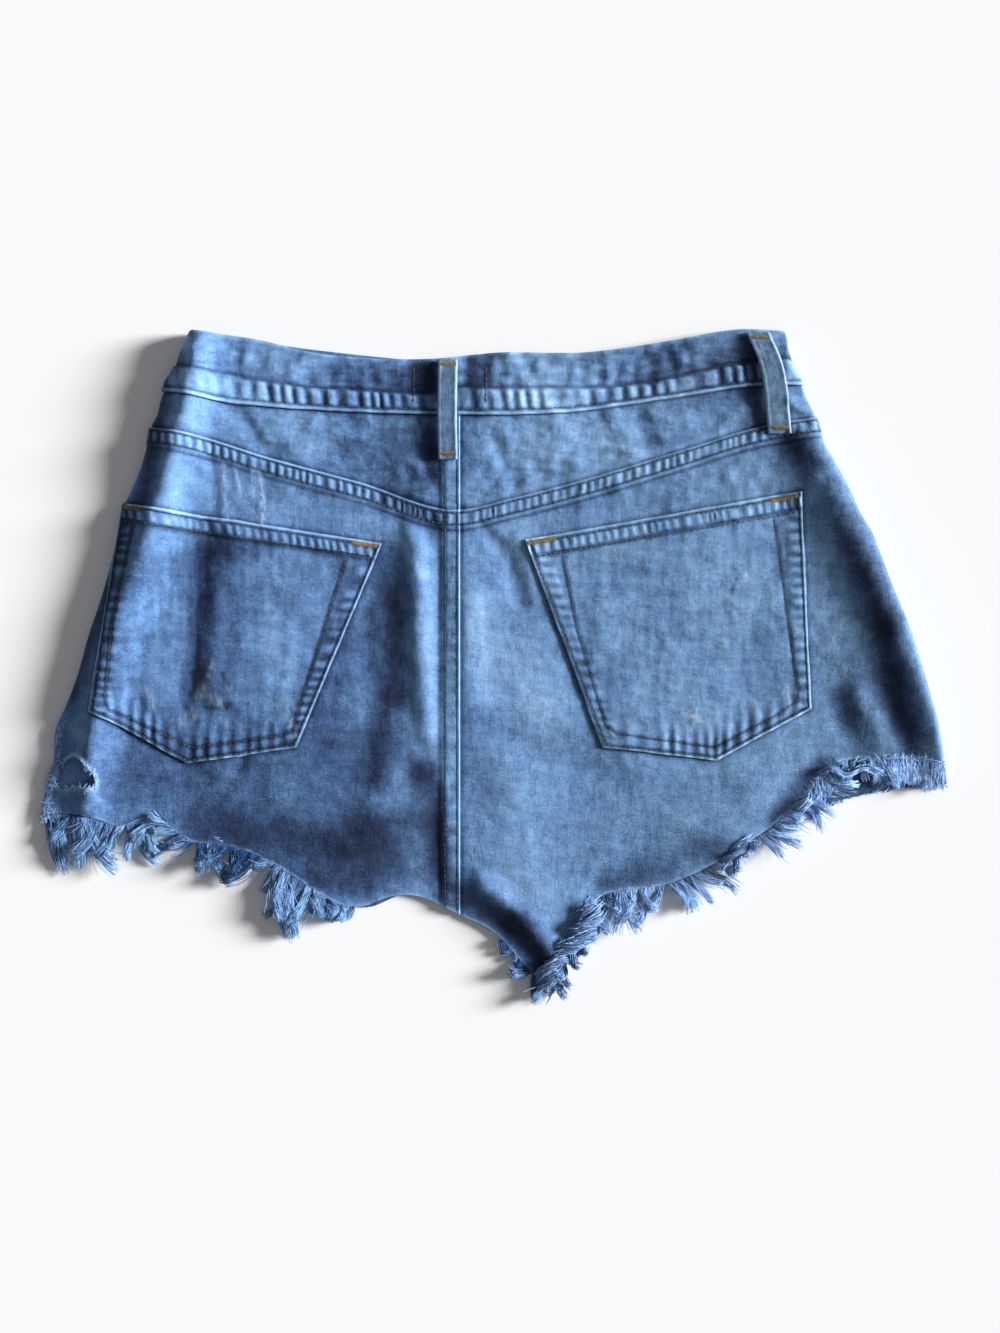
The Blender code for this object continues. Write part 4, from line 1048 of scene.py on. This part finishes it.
rows = []
leftDetail, rightDetail = panelDetail("left"), panelDetail("right")
leftYoke = yokeDetail("left")
for drop in (2.0, fell["yoke"] - 2.0):
    rows.append((follow(yokeEdge, -180, form["lap"] - 1, drop), leftDetail))
    rows.append((follow(yokeEdge, form["lap"] + 1, 231, drop), rightDetail))
for inset in (2.0, fell["centre"] - 2.0):
    x = form["lap"] - inset
    rows.append(([(x, -99), (x, -200), (x, -346)], leftDetail))
    rows.append(([(x, -40), (x, -94)], leftYoke))
rows.append((follow(bandSeamBack, -174, -9, -3.1), bandDetail))
rows.append((follow(bandSeamBack, 6, 214, -3.1), bandDetail))
rows += [([(x, -8), (x, -31)], bandDetail) for x in (-22.5, 22.5)]
for side, shape in pocketShapes.items():
    middle = np.mean(shape["corners"], axis=0)
    corners = [tuple(np.array(corner) + (middle - corner) * 0.024) for corner in shape["corners"]]
    rows.append(([corners[1], corners[2], corners[3], corners[4], corners[0]], shape["detail"]))
    rows.append((shape["rows"][0], shape["detail"]))
    topLeft, topRight = np.array(shape["corners"][0]), np.array(shape["corners"][1])
    rows.append(([topLeft + (3, -2.4), topRight + (-3, -2.4)], shape["detail"]))
    rows.append(([np.array(shape["hem"][0]) + (3, 1.6), np.array(shape["hem"][1]) + (-3, 1.6)], shape["detail"]))
paths, tones = [], []
for seed, (points, surface) in enumerate(rows):
    path, tone = stitchPaths(points, surface, 200 + seed)
    paths.append(path)
    tones.append(tone)
paths, tones = np.concatenate(paths), np.concatenate(tones)
radii = stitch["radius"] * np.array([0.45, 1.0, 1.0, 0.45]) + np.zeros(paths.shape[:2])
topstitching = tubes("topstitching", paths, radii, stitch["sides"], tones, seamThread)
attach(topstitching, "root")

# bar tacks
tack = {"spacing": 0.42, "radius": 0.24}


def tackPaths(start, end, halfWidth, surface, seed):
    # short threads side by side across a bar from start to end
    start, end = np.array(start, float), np.array(end, float)
    count = int(np.hypot(*(end - start)) / tack["spacing"])
    random = np.random.default_rng(seed)
    middle = start + (end - start) * np.linspace(0, 1, count)[:, None]
    run = (end - start) / np.hypot(*(end - start))
    lean = np.array([-run[1], run[0]]) + run * 0.15 * np.where(np.arange(count) % 2, 1, -1)[:, None]
    reach = halfWidth * (1 + random.normal(0, 0.08, (count, 1, 1)))
    places = middle[:, None] + lean[:, None] * reach * np.array([-1.0, 0.0, 1.0])[None, :, None]
    rise = np.array([0.0, 0.3, 0.0])
    if callable(surface):
        path, _ = tubePoints(places[..., 0], places[..., 1], surface(places[..., 0], places[..., 1])["lift"] + rise)
    else:
        path = np.concatenate([places, (np.interp(-places[..., 1], *surface) + 0.1 + rise)[..., None]], axis=-1)
    tone = np.clip(random.normal(0.55, 0.2, (count, 1)), 0, 1) + np.zeros(3)
    return path, tone


tacks = []
for side, (outer, inner) in {"left": ((-203, -190), (-61, -44)), "right": ((200, 217), (49, 66))}.items():
    shape = pocketShapes[side]
    (x1, y1), (x2, y2) = shape["corners"][:2]
    for bar in (outer, inner):
        ends = [(x, y1 + (y2 - y1) * (x - x1) / (x2 - x1) - 2.6) for x in bar]
        tacks.append((*ends, 1.5, shape["detail"]))
for x, y, loop in ((-1, -7.0, 0), (-1, -62.5, 0), (192.8, 9.5, 1), (205.3, -46.5, 1)):
    tacks.append(((x - 5, y), (x + 5, y), 1.1, loopTops[loop]))
made = [tackPaths(*row, 400 + number) for number, row in enumerate(tacks)]
paths, tones = np.concatenate([row[0] for row in made]), np.concatenate([row[1] for row in made])
barTacks = tubes("barTacks", paths, tack["radius"] + np.zeros(paths.shape[:2]), 5, tones, tackThread)
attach(barTacks, "root")
print("stitches ready")

# frayed edges
fringeLook = {
    "radius": 0.29, "rings": 7, "lockWidth": 5.6, "lockRadius": 2.7, "highest": 10.6, "lowest": 0.35,
    "tone": 0.34, "spread": 0.22, "rollTone": 0.48, "rollPitch": 44.0,
}
fringePlans = {
    # lean is towards +x in degrees, curl in radians from root to tip. The tone column is partly the threads' own
    # colour, partly painted shade where locks lie in shadow and painted light where they were left too dark
    "fringe_back_left": {
        "line": legBack, "start": -253, "end": -60, "count": 3600, "seed": 501,
        "rolls": [
            {"spine": [(-108, -322, 3.0), (-106, -336, 5.5), (-102, -350, 5.5), (-98, -364, 3.0)],
             "count": 220},
            {"spine": [(-92, -340, 3.0), (-82, -346, 4.5), (-70, -350, 3.5)],
             "count": 90},
        ],
        "plan": table("x reach lean curl tone", [
            (-256, 29, 4, 0.1, -0.1), (-240, 30, 2, 0.1, -0.06), (-226, 27, 0, 0.2, 0.0),
            (-214, 25, -4, 0.3, 0.04), (-202, 24, -10, 0.4, 0.06), (-192, 24, -22, 0.4, 0.04),
            (-182, 23, -44, 0.5, 0.08), (-172, 18, -58, 0.5, 0.16), (-163, 17, -22, 0.5, -0.08),
            (-150, 24, -8, 0.3, -0.30), (-136, 26, -4, 0.3, -0.38), (-122, 20, -8, 0.6, -0.40),
            (-112, 17, -40, 0.9, 0.0), (-104, 28, 6, 0.8, -0.15), (-96, 30, -4, 0.5, 0.0),
            (-88, 26, 14, 0.6, 0.1), (-78, 19, 20, 1.2, 0.0), (-66, 13, 10, 1.2, 0.1), (-54, 6, 0, 1.0, 0.0)]),
    },
    "fringe_back_right": {
        "line": legBack, "start": 33, "end": 309, "count": 3500, "seed": 502,
        "rolls": [
            {"spine": [(57, -401, 3.0), (61, -389, 6.5), (68, -375, 6.5), (80, -364, 7.5),
                       (87, -351, 8.0), (92, -338, 5.0)],
             "count": 520, "tone": 0.3},
            {"spine": [(171, -319, 3.0), (178, -311, 4.5), (187, -303, 3.0)],
             "count": 110, "tone": 0.34},
            {"spine": [(231, -261, 1.0), (238, -257.5, 1.5), (246, -262.5, 1.5), (258, -257.5, 1.7),
                       (270, -261, 1.2)],
             "count": 80, "rise": 5.5},
        ],
        "plan": table("x reach lean curl tone", [
            (30, 5, -24, 0.2, -0.5), (44, 8, -10, 0.4, -0.5), (56, 14, 6, 0.9, -0.25), (64, 16, 4, 1.4, -0.2),
            (74, 18, -14, 2.2, -0.15), (84, 17, -16, 1.8, -0.12), (92, 18, -10, 1.2, -0.02),
            (100, 20, 6, 0.4, 0.12), (112, 25, 4, 0.3, 0.18), (124, 21, 0, 0.4, 0.2), (140, 20, 14, 0.4, 0.2),
            (152, 20, 34, 0.6, 0.14), (164, 19, 40, 0.8, 0.14), (176, 17, -6, 1.2, 0.2),
            (184, 13, -14, 1.4, 0.2), (192, 17, 30, 0.5, 0.3), (204, 22, 34, 0.4, 0.34),
            (216, 22, 22, 0.4, 0.34), (226, 20, 8, 0.5, 0.3), (236, 15, 4, 0.4, 0.1), (250, 14, 0, 0.3, -0.12),
            (266, 16, 4, 0.3, 0.2), (282, 16, 2, 0.2, 0.5), (311, 15, 0, 0.2, 0.5)]),
    },
    "fringe_front_left": {
        "line": legFront, "start": -214, "end": -62, "count": 420, "seed": 503,
        "plan": table("x reach lean curl tone", [(-215, 14, 0, 0, 0), (-128, 15, 0, 0, 0), (-60, 8, 0, 0, 0)]),
    },
    "fringe_front_right": {
        "line": legFront, "start": 50, "end": 309, "count": 560, "seed": 504,
        "plan": table("x reach lean curl tone", [
            (46, 6, 0, 0, 0), (150, 12, 0, 0, 0), (228, 6, 0, 0, 0), (240, 3, 0, 0, 0), (311, 3, 0, 0, 0),
        ]),
    },
}


def makeFringe(node, spec):
    # threads gather into locks: from a spread row of roots each lock draws in to a twisted, tapering bundle
    random = np.random.default_rng(spec["seed"])
    dense = np.linspace(spec["start"], spec["end"], 1500)
    lineY = smoothLine(spec["line"], "x", "y")
    length = np.concatenate([[0], np.cumsum(np.hypot(np.diff(dense), np.diff(lineY(dense))))])
    along = np.sort(random.uniform(0, length[-1], spec["count"]))
    lock = np.floor(along / fringeLook["lockWidth"] + 0.5 * softNoise(along / 17, 0.5, spec["seed"])).astype(int)
    lock -= lock.min()
    locks = lock.max() + 1
    held = np.maximum(np.bincount(lock, minlength=locks), 1)
    middle = np.bincount(lock, weights=along, minlength=locks) / held
    lockX = np.interp(middle, length, dense)
    plan = {key: smoothLine(spec["plan"], "x", key)(lockX) for key in ("reach", "lean", "curl", "tone")}
    slope = (lineY(lockX + 2.5) - lineY(lockX - 2.5)) / 5.0
    fromEdge = np.stack([slope, -np.ones_like(slope)], axis=-1) / np.hypot(slope, 1.0)[:, None]
    down = fromEdge * 0.75 + np.array([0, -0.25])
    turn = np.radians(plan["lean"] + random.normal(0, 8, locks))
    reachOf = plan["reach"] * np.clip(random.normal(0.95, 0.2, locks), 0.5, 1.25)
    curlOf = np.clip(plan["curl"] + random.normal(0, 0.35, locks), 0.05, 6)
    twistOf = random.choice([-1, 1], locks) * random.uniform(0.6, 2.6, locks)
    bendOf, restOf = random.normal(0, 0.38, locks), random.uniform(0.3, 2.0, locks)
    radiusOf = fringeLook["lockRadius"] * random.uniform(0.7, 1.2, locks)
    count = len(along)
    stray = random.random(count) < 0.07
    x = np.interp(along, length, dense)
    angle = turn[lock] + random.normal(0, 0.05, count) + stray * random.normal(0, 0.3, count)
    t = np.linspace(0, 1, fringeLook["rings"])[None, :]
    bearing = angle[:, None] + bendOf[lock][:, None] * t
    heading = down[lock][:, None]
    heading = np.stack([heading[..., 0] * np.cos(bearing) - heading[..., 1] * np.sin(bearing),
                        heading[..., 0] * np.sin(bearing) + heading[..., 1] * np.cos(bearing)], axis=-1)
    heading /= np.linalg.norm(heading, axis=-1, keepdims=True)
    reach = reachOf[lock] * random.uniform(0.80, 1.22, count)
    curl = curlOf[lock][:, None]
    forward, upward = np.sin(curl * t) / curl * reach[:, None], (1 - np.cos(curl * t)) / curl * reach[:, None]
    if "front" in node:
        w = loopPlace("left" if "left" in node else "right", x, lineY(x))
        rest = random.uniform(0.4, 1.0, count)
    else:
        w, rest = x, restOf[lock]
    roots, _ = tubePoints(w, lineY(x) + 0.5, 0.0 * x - random.uniform(0.2, 0.9, count))
    gather = ease(t * 2.2)
    centre = [np.bincount(lock, weights=roots[:, axis], minlength=locks) / held for axis in range(2)]
    centre = np.stack(centre, axis=-1)[lock]
    spread = (roots[:, :2] - centre)[:, None]
    turned = random.uniform(0, 2 * math.pi, count)[:, None] + twistOf[lock][:, None] * t
    fromAxis = np.sqrt(random.random(count))[:, None] * radiusOf[lock][:, None]
    fromAxis = fromAxis * (1.05 - 0.4 * t) * (1 + stray)[:, None]
    sideways = np.stack([-heading[..., 1], heading[..., 0]], axis=-1)
    plane = centre[:, None] + spread * (1 - gather)[..., None] + heading * forward[..., None]
    plane = plane + sideways * (fromAxis * np.cos(turned) * gather)[..., None]
    sink = ease(t * 1.4)
    flat = 0.4 if "front" in node else 1.0
    bundle = radiusOf[lock][:, None] * (1.0 - 0.5 * t) * flat
    height = roots[:, 2:3] * (1 - sink) + (rest[:, None] + bundle) * sink + upward * flat
    height = height + flat * fromAxis * np.sin(turned) * gather
    height = fringeLook["highest"] * np.tanh(height / fringeLook["highest"])
    paths = np.concatenate([plane, np.maximum(height, fringeLook["lowest"])[..., None]], axis=-1)
    tone = random.normal(fringeLook["tone"], fringeLook["spread"], (count, 1))
    tone = tone + (plan["tone"] + random.normal(0, 0.16, locks))[lock][:, None]
    tone = tone + 0.46 * t - 0.26 * (1 - t) ** 3
    radii = fringeLook["radius"] * (1.15 - 0.5 * t) * random.uniform(0.8, 1.2, (count, 1))
    for number, roll in enumerate(spec.get("rolls", [])):
        rise, rollTone = roll.get("rise", 0.0), roll.get("tone", fringeLook["rollTone"])
        spine = table("x y radius", roll["spine"])
        more = rollPaths(spine, roll["count"], rise, rollTone, spec["seed"] + 20 + number)
        paths, radii, tone = (np.concatenate(pair) for pair in zip((paths, radii, tone), more))
    return paths, radii, np.clip(tone, 0, 1)


def rollPaths(spine, count, rise, middleTone, seed):
    # a rolled hem: threads wound round a spine, each along a part of the same helix
    random = np.random.default_rng(seed)
    stops = {"s": np.linspace(0, 1, len(spine["x"])), **spine}
    x, y, radius = (smoothLine(stops, "s", key) for key in ("x", "y", "radius"))
    length = float(np.hypot(np.diff(spine["x"]), np.diff(spine["y"])).sum())
    span = random.uniform(16, 34, (count, 1)) / length
    t = np.linspace(0, 1, fringeLook["rings"])[None, :]
    s = random.random((count, 1)) * (1 - span) + span * t
    loose = random.normal(0, 2.0, (count, 1)) * np.abs(2 * t - 1) ** 4
    inside = np.clip(s, 0, 1)
    middle = np.stack([x(inside), y(inside)], axis=-1)
    ahead, behind = np.clip(s + 0.02, 0.02, 1), np.clip(s - 0.02, 0, 0.98)
    runs = np.stack([x(ahead) - x(behind), y(ahead) - y(behind)], axis=-1)
    runs /= np.linalg.norm(runs, axis=-1, keepdims=True)
    middle = middle + runs * loose[..., None]
    side = np.stack([-runs[..., 1], runs[..., 0]], axis=-1)
    strand = random.integers(0, 3, (count, 1)) * (2 * math.pi / 3) + random.normal(0, 0.5, (count, 1))
    angle = strand + 2 * math.pi * s * length / fringeLook["rollPitch"]
    away = radius(inside) * random.uniform(0.7, 1.05, (count, 1)) * (1 + 0.25 * np.cos(strand * 3))
    away = away + np.abs(loose) * 0.4
    height = rise + 0.7 * radius(inside) + 0.5 + 0.72 * away * np.sin(angle)
    plane = middle + side * (away * np.cos(angle))[..., None]
    paths = np.concatenate([plane, np.maximum(height, fringeLook["lowest"])[..., None]], axis=-1)
    tone = random.normal(middleTone, 0.16, (count, 1)) + 0.28 * np.abs(2 * t - 1) ** 3
    radii = fringeLook["radius"] * (1.25 - 0.6 * np.abs(2 * t - 1)) * random.uniform(0.85, 1.3, (count, 1))
    return paths, radii, tone


for node, spec in fringePlans.items():
    paths, radii, tone = makeFringe(node, spec)
    piece = tubes(camelName(node), paths, radii, 3, tone, paleFray if "right" in node else frayThread)
    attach(piece, "root")
    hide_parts(node)
    pieces[node] = piece
for side in ("left", "right"):
    w, y = pieces["backGrid" + side]
    declare(pieces["back" + side], "back_panel_" + side, w, y)
    w, y = pieces["frontGrid" + side]
    declare(pieces["front" + side], "front_panel_" + side, w, y)
print("fringes ready")

# frayed spots: the hole's rim, the rubbed left edge and the loose threads on the pockets
def spotThreads():
    random = np.random.default_rng(77)
    radius = smoothLine(hole["rim"], "angle", "radius")
    angle = random.uniform(0, 360, 150)
    rim = radius(angle)[:, None] * np.stack([np.cos(np.radians(angle)), np.sin(np.radians(angle))], axis=-1)
    way = np.radians(angle + 90 + random.normal(0, 14, 150))
    groups = [(np.array(hole["middle"]) + rim * random.uniform(0.98, 1.08, (150, 1)), way, random.uniform(3, 8, 150))]
    y = np.concatenate([random.uniform(-285, -222, 110), random.normal(-262, 3, 30), random.normal(-284, 4, 30)])
    edge = np.stack([leftFold(y) + random.uniform(0.5, 5, 170), y], axis=-1)
    way = np.radians(random.normal(215, 30, 170))
    groups.append((edge, way, np.where(np.arange(170) < 110, 4, 10) * random.uniform(0.6, 1.3, 170)))
    x = np.concatenate([random.uniform(222, 240, 150), random.uniform(264, 308, 750)])
    edge = np.stack([x, legBackLine(x) - 4.0 - 11.0 * random.random(900)], axis=-1)
    way = np.radians(random.choice([-95, -88, -80, -74], 900) + random.normal(0, 9, 900))
    groups.append((edge, way, random.uniform(5, 11, 900)))
    x = random.uniform(228, 308, 70)
    edge = np.stack([x, legBackLine(x) - random.uniform(0.5, 2.0, 70)], axis=-1)
    way = np.radians(random.choice([6, 174], 70) + random.normal(0, 12, 70))
    groups.append((edge, way, random.uniform(4, 9, 70)))
    for x1, y1, x2, y2, width, amount in zip(*worn.values()):
        length = math.hypot(x2 - x1, y2 - y1)
        count = int(length * max(amount - 0.7, 0.0) * 1.5)
        share = random.random(count)
        start = np.stack([x1 + (x2 - x1) * share, y1 + (y2 - y1) * share], axis=-1)
        start = start + random.normal(0, width * 0.7, (count, 2))
        way = math.atan2(y2 - y1, x2 - x1) + random.normal(0, 0.8, count)
        groups.append((start, way, random.uniform(0.15, 0.6, count) * min(length, 9.0)))
    starts, ways, lengths = (np.concatenate([group[k] for group in groups]) for k in range(3))
    t = np.linspace(-0.5, 0.5, fringeLook["rings"])[None, :]
    bend = random.normal(0, 0.9, (len(ways), 1))
    heading = ways[:, None] + bend * t
    x = starts[:, 0:1] + np.cos(heading) * lengths[:, None] * t
    y = starts[:, 1:2] + np.sin(heading) * lengths[:, None] * t
    onPocket = np.zeros(x.shape, bool)
    for shape in pocketShapes.values():
        topLeft, topRight, lowRight, point, lowLeft = shape["corners"]
        inside = (toLine(x, y, topLeft, topRight) < 0) & (toLine(x, y, topRight, lowRight) < 0)
        inside &= (toLine(x, y, topLeft, lowLeft) > 0) & (toLine(x, y, lowRight, point) < 0)
        inside &= toLine(x, y, point, lowLeft) < 0
        onPocket |= inside
    lift = np.where(onPocket, 2.0, 0.35) + random.uniform(0, 0.6, (len(ways), 1)) + 0.5 * (0.5 - np.abs(t))
    path, _ = tubePoints(np.maximum(x, leftFold(y) - 5), y, lift)
    path[..., 0] = np.where(x < leftFold(y), x, path[..., 0])
    middleTone = np.where(starts[:, 1:2] < -240, 0.85, 0.6) - 0.2 * (starts[:, 0:1] < -200)
    tone = np.clip(random.normal(middleTone, 0.2, (len(ways), 1)), 0, 1) + 0.0 * t
    radii = 0.2 * (1.1 - np.abs(t)) * random.uniform(0.8, 1.25, (len(ways), 1))
    return tubes("looseThreads", path, radii, 3, tone, paleFray)


looseThreads = spotThreads()
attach(looseThreads, "root")
print("frayed spots ready")


# button
def makeBrass():
    material, tree, shader = newMaterial("wornBrass")
    coordinates = tree.nodes.new("ShaderNodeTexCoord")
    tarnish = noiseNode(tree, coordinates.outputs["Object"], 500.0, 4.0)
    brass = rampNode(tree, tarnish, [(0.0, (0.22, 0.15, 0.07)), (1.0, (0.70, 0.52, 0.28))])
    tree.links.new(brass, shader.inputs["Base Color"])
    tree.links.new(mathNode(tree, "MULTIPLY", tarnish, 0.6), shader.inputs["Roughness"])
    shader.inputs["Metallic"].default_value = 1.0
    return material


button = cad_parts["button"]
button.data.materials.clear()
button.data.materials.append(makeBrass())

# stage, light and camera
stage = {"floor": 3.0, "cameraHeight": 1.3, "seenHeight": 0.8331, "aim": (31.25, -194.7), "sensor": 36.0}
light = {"key": 8.75, "elevation": 18.6, "azimuth": 9.0, "softness": 17.0, "sky": 0.225}


def makeFloor():
    half, under = stage["floor"], -0.0003
    mesh = bpy.data.meshes.new("floor")
    corners = [(-half, -half, under), (half, -half, under), (half, half, under), (-half, half, under)]
    mesh.from_pydata(corners, [], [(0, 1, 2, 3)])
    floor = bpy.data.objects.new("floor", mesh)
    bpy.context.scene.collection.objects.link(floor)
    material, _, shader = newMaterial("paleFloor")
    setInputs(shader, {"Base Color": (0.86, 0.86, 0.86, 1.0), "Roughness": 0.9, "Specular IOR Level": 0.1})
    mesh.materials.append(material)
    floor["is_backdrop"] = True


def addSun():
    data = bpy.data.lights.new("keyLight", "SUN")
    data.energy = light["key"]
    data.angle = math.radians(light["softness"])
    data.color = (0.995, 1.0, 1.0)
    sun = bpy.data.objects.new("keyLight", data)
    bpy.context.scene.collection.objects.link(sun)
    sun.location = (1.0, 0.2, 0.6)
    sun.rotation_euler = (math.radians(90 - light["elevation"]), 0.0, math.radians(90 + light["azimuth"]))


makeFloor()
addSun()
world = bpy.data.worlds.new("studio")
world.use_nodes = True
setInputs(world.node_tree.nodes["Background"], {"Color": (0.95, 0.97, 1.0, 1.0), "Strength": light["sky"]})
bpy.context.scene.world = world
cameraData = bpy.data.cameras.new("camera")
cameraData.sensor_width = stage["sensor"]
cameraData.lens = stage["sensor"] * stage["cameraHeight"] / stage["seenHeight"]
camera = bpy.data.objects.new("camera", cameraData)
bpy.context.scene.collection.objects.link(camera)
aim = (np.array([*stage["aim"], 0.0]) + shift) * mm
camera.location = (aim[0], aim[1], stage["cameraHeight"])
bpy.context.scene.camera = camera
bpy.context.scene.view_settings.view_transform = "Standard"
print("stage ready")

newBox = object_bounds()
{"cad": [list(corner) for corner in cadBox], "visual": [list(corner) for corner in newBox]}
